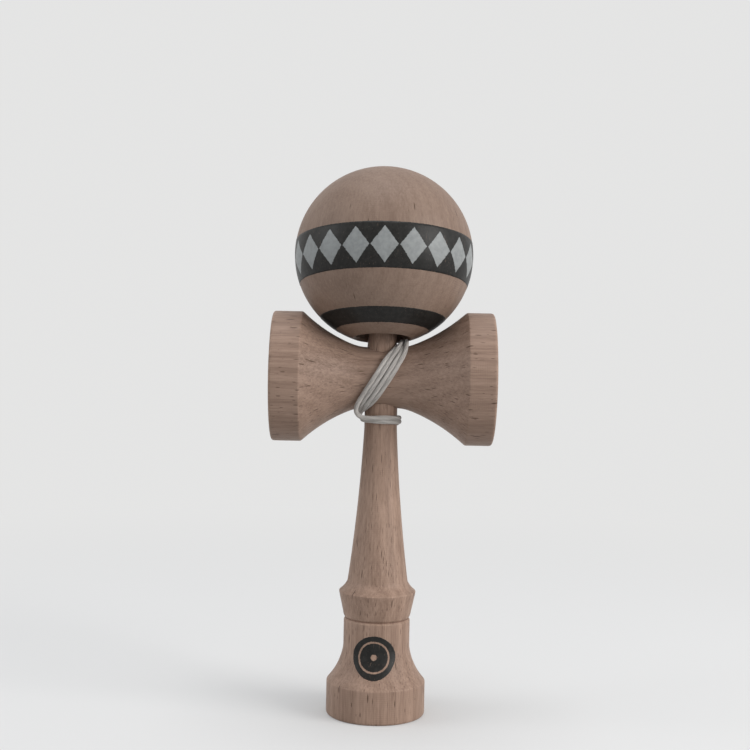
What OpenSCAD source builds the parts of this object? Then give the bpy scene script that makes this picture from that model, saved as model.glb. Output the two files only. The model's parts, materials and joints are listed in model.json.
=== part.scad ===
// Cup and ball toy: a turned sword with a spike and a base cup, a cross cup pushed on to it,
// and a ball that sits on the spike and hangs from a string.
// Millimetres. The sword stands on +Z, the cross cup lies along X and the front faces -Y.
// The origin is the centre of the base cup's rim, on the surface that the toy stands on.

/* [Sword] */
// Diameter of the base cup's rim
base_d = 20; // [18:0.5:24]
// Height of the straight band above the base cup's rim
base_band_h = 6.8; // [3.5:0.1:7.6]
// Diameter of the base cup's hollow at its rim
base_hollow_d = 16.6; // [14:0.2:17]
// Depth of the base cup's hollow
base_hollow_depth = 4.8; // [4.4:0.1:6]
// Diameter of the waist above the base cup
waist_d = 13.4; // [11:0.2:14.4]
// Height at which the base flare reaches the waist
waist_z = 13.8; // [11:0.2:15]
// Height of the groove between the waist and the collar
groove_z = 19.6; // [17.6:0.2:21]
// Depth of the groove
groove_depth = 0.4; // [0.2:0.05:0.8]
// Diameter of the collar at the handle's lower end
collar_d = 15.6; // [14.8:0.2:18]
// Height of the collar's edge
collar_z = 25; // [22:0.2:26.6]
// Diameter of the handle where it meets the collar
handle_d = 12.2; // [11:0.2:14]
// Diameter of the neck under the cross cup
neck_d = 6.6; // [6.4:0.1:7.4]
// Diameter of the shaft inside the cross cup
shaft_d = 6; // [5.4:0.1:6.2]
// Length of the spike above the cross cup
spike_len = 20.5; // [17:0.5:23]
// Diameter of the spike's blunt tip
spike_tip_d = 2.8; // [2:0.1:4]

/* [Cross cup] */
// Height of the cross cup's axis above the base
cross_z = 68.2; // [62:0.2:74]
// Distance from the sword's axis to the big cup's rim, on the right
big_cup_len = 22.4; // [20:0.2:26]
// Distance from the sword's axis to the small cup's rim, on the left
small_cup_len = 22; // [20:0.2:26]
// Diameter of the big cup's rim
big_cup_d = 26.8; // [24:0.2:28]
// Diameter of the small cup's rim
small_cup_d = 26.2; // [24:0.2:28]
// Depth of the big cup's hollow
big_hollow_depth = 5.6; // [5:0.1:6.4]
// Depth of the small cup's hollow
small_hollow_depth = 5.2; // [5:0.1:6.4]
// Width of the flat rim round each cup's hollow
cup_rim_w = 1.3; // [0.8:0.1:2]
// Length of the straight band behind the big cup's rim
big_band_len = 5.4; // [4:0.1:6.6]
// Length of the straight band behind the small cup's rim
small_band_len = 5.9; // [4:0.1:6.6]
// Diameter of the cross cup at its middle
cross_waist_d = 12.2; // [11.4:0.1:13]
// Length of the straight part at the middle
cross_waist_len = 9; // [7:0.2:10]

/* [Ball] */
// Diameter of the ball
ball_d = 36; // [33:0.5:40]
// Diameter of the hole that takes the spike
ball_hole_d = 10.6; // [10.6:0.1:12]
// Width of the bevel round the hole's mouth
ball_hole_bevel = 0.5; // [0.2:0.1:0.8]
// Lean of the ball on its spike, hole towards the front, in degrees
ball_lean = 10; // [0:0.5:14]
// Height of the wide printed band's lower edge, from the ball's middle
wide_band_z = -6.3; // [-9:0.1:-5]
// Height of the wide printed band
wide_band_h = 8.8; // [6:0.1:11]
// Height of the narrow printed band's lower edge, from the ball's middle
narrow_band_z = -15.4; // [-16.2:0.1:-13]
// Height of the narrow printed band
narrow_band_h = 2.5; // [1.5:0.1:3]

/* [String] */
// Diameter of the string
string_d = 0.75; // [0.5:0.05:0.8]
// Diameter of the holes that the string goes through
string_hole_d = 2; // [1.4:0.1:2.4]
// Depth of the string hole below the cross cup's axis
string_hole_drop = 4.2; // [3.6:0.1:4.4]
// Diameter of a knot
knot_d = 2; // [1.6:0.1:2.4]
// Diameter of the bead in the ball
bead_d = 4; // [3.4:0.1:5]
// Length of the bead
bead_len = 3.4; // [2.6:0.1:4]

/* [Fits and finish] */
// Radial clearance between the cross cup and the sword
shaft_clearance = 0.05; // [0.02:0.01:0.1]
// Gap that keeps loose pieces apart
loose_gap = 0.1; // [0.05:0.05:0.2]
// Thickness of a printed film
film_t = 0.1; // [0.05:0.01:0.2]
// Radius of the eased edges
edge_r = 0.5; // [0.2:0.1:0.8]
// Diameter of the round print on the base
roundel_d = 8.4; // [6:0.2:9]
// Height of the round print's centre
roundel_z = 12.8; // [11.6:0.2:13.6]
// Turn of the round print from the front towards the left, in degrees
roundel_turn = 4; // [0:1:20]

/* [Hidden] */
$fn = 96;

beech = [0.72, 0.55, 0.42];
beech_pale = [0.77, 0.61, 0.48];
ink = [0.06, 0.06, 0.06];
string_grey = [0.8, 0.79, 0.76];
arc_steps = 12;

// Sags of the curved outlines, from chord to curve
flare_sag = 0.6;
collar_sag = 0.18;
handle_sag = 0.35;
saddle_sag = 0.75;
// Height of the curve from the collar's edge to the handle
collar_h = 2;
// Height of half the groove
groove_half = 0.35;
// How far below the cross cup's axis the sword's shoulder stops it
shoulder_drop = 1.5;
// Height over which the neck runs straight under the cross cup
neck_straight = 4;
spike_tip_round = 0.9;
film_gap = 0.02;
knot_gap = 0.3;

cross_waist_r = cross_waist_d / 2;
shoulder_z = cross_z - shoulder_drop;
neck_z = cross_z - cross_waist_r - neck_straight;
spike_root_z = cross_z + cross_waist_r;
spike_tip_z = spike_root_z + spike_len;

// The ball rests just clear of the string that crosses the saddle, and sits back on the spike
// so that the lip of its leaning hole clears it.
ball_r = ball_d / 2;
mouth_r = ball_hole_d / 2 + ball_hole_bevel;
saddle_gap = 1.5;
ball_z = spike_root_z + saddle_gap + sqrt(ball_r * ball_r - mouth_r * mouth_r);
ball_back = 0.4 * ball_r * sin(ball_lean);
// Heights along the ball's own axis, from its centre
knot_flat = sqrt(knot_d * knot_d - string_d * string_d) / 2;
ball_knot_top = spike_tip_z - ball_z + knot_gap + knot_d / 2 + knot_flat;
bead_bottom = ball_knot_top + loose_gap;
hole_end = bead_bottom + bead_len + loose_gap;

// The knot in the sword sits in a pocket that opens to the front.
string_hole_z = cross_z - string_hole_drop;
pocket_d = knot_d + 0.4;
pocket_y = -0.7;
sword_knot_y = pocket_y - loose_gap;

// Points of an arc from p to q, without p. A positive sag bulges to the left of the way to q.
function arc_points(p, q, sag) =
    let (
        chord = norm(q - p),
        half = 2 * atan(2 * abs(sag) / chord),
        r = chord / (2 * sin(half)),
        along = (q - p) / chord,
        out = [-along[1], along[0]] * sign(sag),
        centre = (p + q) / 2 - out * r * cos(half)
    )
    [for (i = [1:arc_steps])
        let (a = half * (2 * i / arc_steps - 1))
        centre + out * r * cos(a) + along * r * sin(a)];

// Sag of a quarter circle of radius r
function quarter_sag(r) = r * (1 - sqrt(0.5));

// Radius of a sphere that hollows an opening of diameter d to a depth
function dish_r(d, depth) = (d * d / 4 + depth * depth) / (2 * depth);

// Outline of the sword's base from its rim to the top of the waist
base_flare = concat(
    [[base_d / 2, base_band_h]],
    arc_points([base_d / 2, base_band_h], [waist_d / 2, waist_z], flare_sag),
    [[waist_d / 2, groove_z - groove_half]]
);

module sword_outline() {
    polygon(concat(
        [[0, 0], [base_d / 2 - edge_r, 0]],
        arc_points([base_d / 2 - edge_r, 0], [base_d / 2, edge_r], -quarter_sag(edge_r)),
        base_flare,
        [
            [waist_d / 2 - groove_depth, groove_z],
            [waist_d / 2, groove_z + groove_half],
            [collar_d / 2, collar_z]
        ],
        arc_points([collar_d / 2, collar_z], [handle_d / 2, collar_z + collar_h], collar_sag),
        arc_points([handle_d / 2, collar_z + collar_h], [neck_d / 2, neck_z], handle_sag),
        [
            [neck_d / 2, shoulder_z],
            [shaft_d / 2, shoulder_z],
            [shaft_d / 2, spike_root_z],
            [spike_tip_d / 2, spike_tip_z - spike_tip_round]
        ],
        arc_points([spike_tip_d / 2, spike_tip_z - spike_tip_round], [0, spike_tip_z], -0.3)
    ));
}

// Sword: spike, shaft, handle, collar and base cup in one turned piece
module sword() {
    hollow_r = dish_r(base_hollow_d, base_hollow_depth);
    color(beech) difference() {
        rotate_extrude() sword_outline();
        translate([0, 0, base_hollow_depth - hollow_r]) sphere(hollow_r);
        translate([0, 0, string_hole_z]) rotate([-90, 0, 0]) {
            cylinder(d = string_hole_d, h = neck_d);
            translate([0, 0, pocket_y]) cylinder(d = string_hole_d, h = neck_d);
            translate([0, 0, pocket_y - neck_d]) cylinder(d = pocket_d, h = neck_d);
        }
    }
}

// Half of the cross cup's outline, from its middle to one rim, as radius against distance
function cup_outline(rim_d, length, band_len) =
    let (
        inner = [cross_waist_r, cross_waist_len / 2],
        outer = [rim_d / 2, length - band_len]
    )
    concat(
        [[0, 0], [cross_waist_r, 0], inner],
        arc_points(inner, outer, saddle_sag),
        [[rim_d / 2, length - edge_r]],
        arc_points(
            [rim_d / 2, length - edge_r], [rim_d / 2 - edge_r, length],
            -quarter_sag(edge_r)
        ),
        [[0, length]]
    );

// One half of the cross cup, with its hollow, standing on its cut face
module cup_half(rim_d, length, band_len, depth) {
    hollow_d = rim_d - 2 * cup_rim_w;
    hollow_r = dish_r(hollow_d, depth);
    difference() {
        rotate_extrude() polygon(cup_outline(rim_d, length, band_len));
        translate([0, 0, length - depth + hollow_r]) sphere(hollow_r);
    }
}

// Cross cup: big cup on the right, small cup on the left, bored for the sword
module cross_cup() {
    color(beech_pale) difference() {
        translate([0, 0, cross_z]) {
            rotate([0, 90, 0])
                cup_half(big_cup_d, big_cup_len, big_band_len, big_hollow_depth);
            rotate([0, -90, 0])
                cup_half(small_cup_d, small_cup_len, small_band_len, small_hollow_depth);
        }
        translate([0, 0, cross_z - cross_waist_d])
            cylinder(d = shaft_d + 2 * shaft_clearance, h = 2 * cross_waist_d);
        translate([0, 0, cross_z - cross_waist_d])
            cylinder(d = neck_d + 2 * shaft_clearance, h = cross_waist_d - shoulder_drop);
        translate([0, 0, string_hole_z]) rotate([-90, 0, 0])
            cylinder(d = string_hole_d, h = cross_waist_d);
    }
}

// Places children in the ball's own frame, leaning on the spike
module on_ball() {
    translate([0, ball_back, ball_z]) rotate([-ball_lean, 0, 0]) children();
}

// Ball: spike hole with a bevelled mouth below, string hole above
module ball() {
    bevel_z = -sqrt(ball_r * ball_r - mouth_r * mouth_r);
    overcut = 1;
    color(beech_pale) on_ball() difference() {
        sphere(ball_r);
        translate([0, 0, -ball_d]) cylinder(d = ball_hole_d, h = ball_d + hole_end);
        translate([0, 0, bevel_z - overcut]) cylinder(
            r1 = mouth_r + overcut, r2 = ball_hole_d / 2, h = overcut + ball_hole_bevel
        );
        cylinder(d = string_hole_d, h = ball_d);
    }
}

// A printed film round the ball between two heights
module ball_film(z, h) {
    on_ball() intersection() {
        difference() {
            sphere(ball_r + film_gap + film_t);
            sphere(ball_r + film_gap);
        }
        translate([0, 0, z]) cylinder(d = ball_d * 2, h = h);
    }
}

module wide_band() {
    color(ink) ball_film(wide_band_z, wide_band_h);
}

module narrow_band() {
    color(ink) ball_film(narrow_band_z, narrow_band_h);
}

// Round printed film on the front of the base flare
module base_roundel() {
    inside = [for (p = base_flare) p + [film_gap, 0]];
    outside = [for (i = [len(base_flare) - 1:-1:0]) base_flare[i] + [film_gap + film_t, 0]];
    color(ink) intersection() {
        rotate_extrude() polygon(concat(inside, outside));
        translate([0, 0, roundel_z]) rotate([90, 0, -roundel_turn])
            cylinder(d = roundel_d, h = base_d);
    }
}

// Bead that the ball turns on, at the end of the spike hole
module bead() {
    bulge = bead_d / 2;
    end_r = bead_d / 2 - 0.6;
    color(beech) on_ball() translate([0, 0, bead_bottom]) difference() {
        rotate_extrude() polygon(concat(
            [[0, 0], [end_r, 0]],
            arc_points([end_r, 0], [end_r, bead_len], end_r - bulge),
            [[0, bead_len]]
        ));
        translate([0, 0, -1]) cylinder(d = string_d + 4 * loose_gap, h = bead_len + 2);
    }
}

// A knot, flat where the string meets it, with its flat face up at the origin
module knot() {
    intersection() {
        translate([0, 0, -knot_flat]) sphere(d = knot_d);
        translate([0, 0, -knot_d]) cylinder(d = 2 * knot_d, h = knot_d);
    }
}

module sword_knot() {
    color(string_grey) translate([0, sword_knot_y, string_hole_z]) rotate([-90, 0, 0]) knot();
}

module ball_knot() {
    color(string_grey) on_ball() translate([0, 0, ball_knot_top]) knot();
}

// Route of the string. It leaves the sword to the back, is wound slantwise round the crossing,
// turns round the neck, and rises behind the ball to the hole in its top.
lay = 0.5;                  // centre of the string above the wood it lies on
slant_turns = 4;            // slanting turns round the crossing
slant_pitch = 1.42;         // distance between slanting turns
slant_over = 5.75;          // sideways travel of a slanting turn's middle over the top
slant_under = 6.1;          // and underneath
slant_corner = 0.99;        // how sharply a slanting turn doubles back, below 1
slant_first = 246;          // angles of the first and last points laid on the crossing
slant_last = slant_turns * 360 + 128;
slant_step = 15;
neck_turn_z = cross_z - 8.1;
neck_turn_pitch = 1.2;
neck_first = 285;
neck_last = 740;
neck_step = 15;

// Radius of the cross cup at a distance along its axis, between the straight bands
function saddle_r(x) =
    let (
        p = [cross_waist_r, cross_waist_len / 2],
        q = x > 0 ?
            [big_cup_d / 2, big_cup_len - big_band_len] :
            [small_cup_d / 2, small_cup_len - small_band_len],
        chord = norm(q - p),
        half = 2 * atan(2 * saddle_sag / chord),
        r = chord / (2 * sin(half)),
        along = (q - p) / chord,
        centre = (p + q) / 2 + [along[1], -along[0]] * r * cos(half),
        off = abs(x) - centre[1]
    )
    abs(x) <= cross_waist_len / 2 ? cross_waist_r : centre[0] - sqrt(r * r - off * off);

// Sideways offset of a slanting turn's middle, counted from the right
function slant_middle(turn) = ((slant_turns + 1) / 2 - turn) * slant_pitch;

// Sideways travel of a slanting turn, from 1 over the top to -1 underneath
function slant_wave(angle) = asin(slant_corner * cos(angle)) / asin(slant_corner);

// A point of the slanting winding. The angle runs from the top over the front.
function slant_point(angle) =
    let (
        turn = floor(angle / 360),
        a = angle - 360 * turn,
        shift = max(0, a - 180) / 180,
        reach = cos(a) > 0 ? slant_over : slant_under,
        x = slant_middle(turn + shift) + reach * slant_wave(a),
        r = saddle_r(x) + lay
    )
    [x, -r * sin(a), cross_z + r * cos(a)];

// A point of the turns round the neck. The angle runs from the right over the back.
function neck_point(angle) =
    let (r = neck_d / 2 + lay)
    [
        r * cos(angle), r * sin(angle),
        neck_turn_z - neck_turn_pitch * (angle - neck_first) / 360
    ];

// From the knot through the hole, then the corner on to the neck, as offsets from the crossing
lead_in = [[0, 1, -4.2], [0, 2.6, -4.2], [0, 4.2, -4.2], [0.35, 5.3, -4]];
corner = [
    [-5.55, -5.15, -5.3], [-5.5, -4.75, -6.6], [-4.9, -4.5, -7.6],
    [-3.8, -4.4, -8.1], [-2.2, -4.3, -8.2], [-0.6, -4.05, -8.15]
];
rise = [
    [3.2, 2.9, -9.5], [2.5, 4.4, -8.9], [1.8, 5.8, -7.3], [1.2, 7, -5.2], [0.9, 8.2, -2.8],
    [0.7, 9.5, -0.4], [0.6, 10.9, 2], [0.5, 12.3, 4.5], [0.3, 13.8, 7.1], [0.2, 15.3, 9.9],
    [0.1, 16.7, 12.7], [0, 17.9, 15.3]
];

ball_lay_r = ball_r + lay + loose_gap;
over_ball_first = -22;
over_ball_last = 76 - ball_lean;
over_ball_step = 6;

// A point in the ball's own frame, given towards the back and up its axis
function ball_axis_point(back, up) =
    [
        0, ball_back + back * cos(ball_lean) + up * sin(ball_lean),
        ball_z + up * cos(ball_lean) - back * sin(ball_lean)
    ];

function from_crossing(points) = [for (p = points) p + [0, 0, cross_z]];

winding_route = concat(
    [[0, sword_knot_y, string_hole_z]],
    from_crossing(lead_in),
    [for (a = [slant_first:slant_step:slant_last]) slant_point(a)],
    from_crossing(corner),
    [for (a = [neck_first:neck_step:neck_last]) neck_point(a)]
);
riser_route = concat(
    [winding_route[len(winding_route) - 1]],
    from_crossing(rise),
    [for (a = [over_ball_first:over_ball_step:over_ball_last])
        [0, ball_back + ball_lay_r * cos(a), ball_z + ball_lay_r * sin(a)]],
    [
        ball_axis_point(2.6, ball_r + 0.75), ball_axis_point(1.3, ball_r + 0.85),
        ball_axis_point(0.4, ball_r + 0.4), ball_axis_point(0.05, ball_r - 0.5),
        ball_axis_point(0, ball_r - 2)
    ],
    [for (up = [ball_r - 4:-2:ball_knot_top + 1]) ball_axis_point(0, up)],
    [ball_axis_point(0, ball_knot_top)]
);

function unit(v) = v / norm(v);

// Directions along a route, one for each point
function tangents(route) =
    let (last = len(route) - 1)
    [for (i = [0:last]) unit(route[min(i + 1, last)] - route[max(i - 1, 0)])];

// Sideways directions carried along a route without twisting
function carried(dirs, side, i = 0) =
    i == len(dirs) ? [] :
    let (flat = unit(side - (side * dirs[i]) * dirs[i]))
    concat([flat], carried(dirs, flat, i + 1));

// A tube along a route, closed at both ends, with triangles all round
module tube(route, d, sides) {
    dirs = tangents(route);
    across = carried(dirs, [1, 0.01, 0.02]);
    rings = len(route);
    points = [for (i = [0:rings - 1]) for (s = [0:sides - 1])
        let (up = cross(dirs[i], across[i]), a = 360 * s / sides)
        route[i] + (across[i] * cos(a) + up * sin(a)) * d / 2];
    skin = [for (i = [0:rings - 2]) for (s = [0:sides - 1])
        let (a = i * sides + s, b = i * sides + (s + 1) % sides)
        each [[a, a + sides, b + sides], [a, b + sides, b]]];
    first = [for (s = [1:sides - 2]) [0, s, s + 1]];
    end = (rings - 1) * sides;
    last = [for (s = [1:sides - 2]) [end, end + s + 1, end + s]];
    polyhedron(points, concat(skin, first, last));
}

module string_winding() {
    color(string_grey) tube(winding_route, string_d, 6);
}

module string_riser() {
    color(string_grey) tube(riser_route, string_d, 8);
}

// Length of a route, and the least gap between stretches of it that aren't neighbours
function steps(route) = [for (i = [0:len(route) - 2]) norm(route[i + 1] - route[i])];
function total(list, i = 0) = i == len(list) ? 0 : list[i] + total(list, i + 1);
function near_gaps(route, apart) =
    [for (i = [0:len(route) - 1]) for (j = [i + apart:1:len(route) - 1]) norm(route[i] - route[j])];

echo(string_length = total(steps(winding_route)) + total(steps(riser_route)));
echo(winding_least_gap = min(near_gaps(winding_route, 8)) - string_d);
echo(riser_least_gap = min(near_gaps(riser_route, 8)) - string_d);
echo(
    winding_to_riser_gap = min([for (i = [0:len(winding_route) - 9]) for (j = [2:len(riser_route) - 1])
        norm(winding_route[i] - riser_route[j])]) - string_d
);
echo(
    string_to_ball_gap = min([for (p = concat(winding_route, from_crossing(rise)))
        if (norm([p[0], p[1]]) > mouth_r)
            norm(p - [0, ball_back, ball_z])]) - ball_r - string_d / 2
);

sword();
cross_cup();
ball();
bead();
string_winding();
string_riser();
sword_knot();
ball_knot();
wide_band();
narrow_band();
base_roundel();
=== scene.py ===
"""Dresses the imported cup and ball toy: turned beech, printed bands and a wound string.

Shapes are worked out in millimetres and become metres as their meshes are made. The sword stands on
+Z, the cross cup lies along X and the front faces -Y.
"""

from __future__ import annotations

import json
import logging
from dataclasses import dataclass, replace
from enum import Enum

import bmesh
import bpy
import numpy as np
from mathutils import Matrix, Vector

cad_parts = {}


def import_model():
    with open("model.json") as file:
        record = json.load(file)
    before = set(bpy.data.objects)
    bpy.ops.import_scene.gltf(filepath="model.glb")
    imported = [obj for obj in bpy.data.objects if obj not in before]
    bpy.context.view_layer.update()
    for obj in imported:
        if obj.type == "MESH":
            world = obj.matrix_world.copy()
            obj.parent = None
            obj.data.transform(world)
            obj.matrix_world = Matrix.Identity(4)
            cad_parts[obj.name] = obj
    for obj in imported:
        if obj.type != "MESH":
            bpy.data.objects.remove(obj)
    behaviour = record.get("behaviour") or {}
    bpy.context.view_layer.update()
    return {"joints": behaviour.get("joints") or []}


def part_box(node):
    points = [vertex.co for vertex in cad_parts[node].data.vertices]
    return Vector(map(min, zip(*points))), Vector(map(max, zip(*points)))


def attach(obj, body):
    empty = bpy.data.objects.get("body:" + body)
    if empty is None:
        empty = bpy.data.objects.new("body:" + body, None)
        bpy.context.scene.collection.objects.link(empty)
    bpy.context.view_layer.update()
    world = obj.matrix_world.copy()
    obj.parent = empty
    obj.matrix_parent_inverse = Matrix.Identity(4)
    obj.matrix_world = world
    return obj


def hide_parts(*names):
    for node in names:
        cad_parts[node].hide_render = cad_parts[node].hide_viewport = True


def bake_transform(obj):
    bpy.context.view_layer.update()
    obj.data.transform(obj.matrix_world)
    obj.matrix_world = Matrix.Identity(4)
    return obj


LOG = logging.getLogger("cup_and_ball")
IMAGE_PX = 750
MM = 0.001
TURN = 2 * np.pi

# Steps of a smoothed line within its bell's spread, and the most that the bell reaches to each side
BELL_STEPS = 4
BELL_REACH = 16
# How much closer a turned outline's points lie for each unit of its bend, and the bend that counts at most
CROWDING = 2.5
SHARPEST_BEND = 4.0
# After a cut: metres within which points count as one, and the angles of a straight and of a sharp edge
SLIVER = 2e-7
STRAIGHT = 0.01
SHARP = np.radians(40)
# Millimetres by which two holes on one axis overlap, and between the wood and the underside of a printed film
HOLE_OVERLAP = 0.1
FILM_GAP = 0.006

Array = np.ndarray
Corner = Array | list[float]
Faces = list[list[int]]
Colour = tuple[float, float, float]
Place = tuple[float, float, float]
Socket = bpy.types.NodeSocket
Piece = bpy.types.Object
Material = bpy.types.Material


# Curves and outlines

def arc(start: Corner, end: Corner, sag: float, count: int = 24) -> Array:
    """Points of a circular arc between two points of a plane, without the first.

    The arc is the part of a circle whose middle stands off the chord by the sag, to the left of the
    way to the end where the sag is positive.

    Args:
        start: First point.
        end: Last point.
        sag: Distance from the chord's middle to the arc's.
        count: Number of points.

    Returns:
        An array of points, one to a row.
    """
    start, end = np.asarray(start, float), np.asarray(end, float)
    chord = np.linalg.norm(end - start)
    half = 2 * np.arctan(2 * abs(sag) / chord)
    radius = chord / (2 * np.sin(half))
    along = (end - start) / chord
    out = np.array([-along[1], along[0]]) * np.sign(sag)
    centre = (start + end) / 2 - out * radius * np.cos(half)
    angle = half * (2 * np.arange(1, count + 1) / count - 1)
    return centre + radius * (np.outer(np.cos(angle), out) + np.outer(np.sin(angle), along))


def quarter_round(start: Corner, end: Corner, count: int = 8) -> Array:
    """Points of a quarter circle that bulges to the right of the way, without the first.

    The sag of a quarter circle is (sqrt 2 - 1) / 2 times its chord.

    Args:
        start: First point.
        end: Last point.
        count: Number of points.

    Returns:
        An array of points, one to a row.
    """
    chord = np.linalg.norm(np.subtract(end, start))
    return arc(start, end, -chord * (np.sqrt(2) - 1) / 2, count)


def dished(rim_r: float, depth: float, count: int = 30) -> Array:
    """Outline of a round cup's hollow: part of a circle through its middle and its rim.

    Args:
        rim_r: Radius of the hollow at its rim.
        depth: Depth at its middle.
        count: Number of points.

    Returns:
        Radius and depth under the rim of each point, from the middle to the rim.
    """
    radius = (rim_r ** 2 + depth ** 2) / (2 * depth)
    angle = np.linspace(0.0, np.arcsin(rim_r / radius), count)
    return np.stack([radius * np.sin(angle), depth - radius * (1 - np.cos(angle))], axis=1)


def lengths_along(points: Array) -> Array:
    """Distance of each point of a line from its start, measured along the line."""
    steps = np.linalg.norm(np.diff(points, axis=0), axis=1)
    return np.concatenate([[0.0], np.cumsum(steps)])


def spaced(points: Array, step: float) -> Array:
    """The same line with points that lie an even step apart.

    Args:
        points: Corners of the line, one to a row.
        step: Distance between points, which is shortened to divide the line evenly.

    Returns:
        The new points, with the line's own ends.
    """
    run = lengths_along(points)
    places = np.linspace(0.0, run[-1], int(np.ceil(run[-1] / step)) + 1)
    return np.stack([np.interp(places, run, column) for column in points.T], axis=1)


class Ends(Enum):
    """How a line goes on past its ends while it is smoothed."""

    AXIS = "mirrored in the axis of turning"
    LOOP = "joined end to end"
    FREE = "carried on straight"


def eased(points: Array, spread: float, ends: Ends) -> Array:
    """Rounds a line's corners as sanding does: each point becomes a bell-weighted mean of its neighbours.

    Args:
        points: Corners of the line, one to a row.
        spread: Width of the bell, which is about the radius that a corner gets.
        ends: How the line goes on past its ends.

    Returns:
        Closely spaced points of the smooth line.
    """
    line = spaced(points, spread / BELL_STEPS)
    reach = min(BELL_REACH, len(line) - 2)
    before, after = line[reach:0:-1], line[-2:-reach - 2:-1]
    if ends is Ends.AXIS:
        before, after = before * [-1, 1], after * [-1, 1]
    elif ends is Ends.LOOP:
        before, after = line[-reach - 1:-1], line[1:reach + 1]
    else:
        before, after = 2 * line[0] - before, 2 * line[-1] - after
    bell = np.exp(-0.5 * (np.arange(-reach, reach + 1) / BELL_STEPS) ** 2)
    bell /= bell.sum()
    padded = np.concatenate([before, line, after])
    return np.stack([np.convolve(column, bell, "valid") for column in padded.T], axis=1)


def bends(points: Array, ends: Ends) -> Array:
    """Curvature of a plane line: the turn between the steps before and after a point, over the step's cube.

    Args:
        points: Closely spaced points of the line, one to a row.
        ends: Whether the line is a loop.

    Returns:
        The curvature at each point, positive where the line turns left.
    """
    if ends is Ends.LOOP:
        ahead = np.roll(points[:-1], -1, axis=0) - points[:-1]
        ahead = np.concatenate([ahead, ahead[:1]])
        behind = np.roll(ahead[:-1], 1, axis=0)
        behind = np.concatenate([behind, behind[:1]])
    else:
        ahead = np.gradient(points, axis=0)
        behind = np.roll(ahead, 1, axis=0)
        behind[0] = ahead[0]
    turn = behind[:, 0] * ahead[:, 1] - behind[:, 1] * ahead[:, 0]
    size = np.linalg.norm(ahead, axis=1)
    return turn / np.maximum(size, 1e-9) ** 3


def round_angles(count: int) -> Array:
    """Angles of points that are spaced evenly round a circle."""
    return np.arange(count) * TURN / count


def ways_round(loop: Array) -> Array:
    """Directions along a closed line: from the point before to the point after, at a length of 1."""
    way = np.roll(loop, -1, axis=0) - np.roll(loop, 1, axis=0)
    return way / np.linalg.norm(way, axis=1)[:, None]


def noise_round(angle: Array, waves: tuple[int, ...], seed: int) -> Array:
    """A smooth random value round a circle: a sum of sine waves with seeded phases and strengths.

    Args:
        angle: Angles in radians.
        waves: Numbers of waves in the circle.
        seed: Seed of the random phases.

    Returns:
        Values of about -1 to 1, one for each angle.
    """
    draw = np.random.default_rng(seed)
    phase = draw.uniform(0, TURN, len(waves))
    strength = draw.uniform(0.5, 1.0, len(waves))
    sines = np.sin(np.multiply.outer(angle, np.array(waves)) + phase)
    return sines @ strength / strength.sum()


# Meshes

def mesh_piece(name: str, points: Array, faces: Faces, **values: Array) -> Piece:
    """Makes a smooth-shaded piece from points in millimetres.

    Args:
        name: Name of the piece.
        points: Its points, one to a row.
        faces: Corners of its faces, in turn seen from outside.
        values: Named numbers or vectors for each point, which its materials read.

    Returns:
        The new object, at the origin.
    """
    mesh = bpy.data.meshes.new(name)
    mesh.from_pydata((points * MM).tolist(), [], faces)
    mesh.polygons.foreach_set("use_smooth", np.ones(len(mesh.polygons), bool))
    for key, value in values.items():
        kind, slot = ("FLOAT", "value") if value.ndim == 1 else ("FLOAT_VECTOR", "vector")
        kept = mesh.attributes.new(key, kind, "POINT")
        kept.data.foreach_set(slot, value.astype(np.float32).ravel())
    mesh.update()
    piece = bpy.data.objects.new(name, mesh)
    bpy.context.scene.collection.objects.link(piece)
    return piece


def grid_faces(rows: int, columns: int, close_rows: bool = False, close_columns: bool = True) -> Faces:
    """Quads of a grid of points that is numbered row by row.

    Args:
        rows: Number of rows.
        columns: Number of points in a row.
        close_rows: Whether the last row joins the first.
        close_columns: Whether a row's last point joins its first.

    Returns:
        Corners of each quad.
    """
    row = np.arange(rows if close_rows else rows - 1)[:, None]
    column = np.arange(columns if close_columns else columns - 1)[None, :]
    above, beside = (row + 1) % rows, (column + 1) % columns
    corners = [
        row * columns + column, row * columns + beside,
        above * columns + beside, above * columns + column,
    ]
    return np.stack([c + np.zeros_like(row + column) for c in corners], axis=-1).reshape(-1, 4).tolist()


def flat_ends(count: int, sides: int) -> Faces:
    """Two faces that close a tube over its first and its last ring.

    Args:
        count: Number of the tube's points.
        sides: Number of points in a ring.

    Returns:
        Corners of the two faces.
    """
    return [list(range(sides - 1, -1, -1)), list(range(count - sides, count))]


def pointed_ends(count: int, sides: int) -> Faces:
    """Triangles that close a tube's first and last ring on two points, which are numbered after its own.

    Args:
        count: Number of the tube's points.
        sides: Number of points in a ring.

    Returns:
        Corners of each triangle.
    """
    column, last = np.arange(sides), count - sides
    beside = (column + 1) % sides
    low = np.stack([np.full(sides, count), beside, column], axis=1)
    high = np.stack([np.full(sides, count + 1), last + column, last + beside], axis=1)
    return np.concatenate([low, high]).tolist()


def rings_about(line: Array, side: Array, up: Array, radius: Array | float, angle: Array) -> Array:
    """Points on rings about a line, each at place + radius (cos a side + sin a up).

    Args:
        line: Middles of the rings.
        side: A direction square to the line at each of them.
        up: The direction square to both.
        radius: Radius of the tube, or of each point of each ring.
        angle: Angles of a ring's points.

    Returns:
        The points, ring by ring.
    """
    out = side[:, None] * np.cos(angle)[:, None] + up[:, None] * np.sin(angle)[:, None]
    reach = np.broadcast_to(radius, out.shape[:2])[..., None]
    return (line[:, None] + reach * out).reshape(-1, 3)


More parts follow.
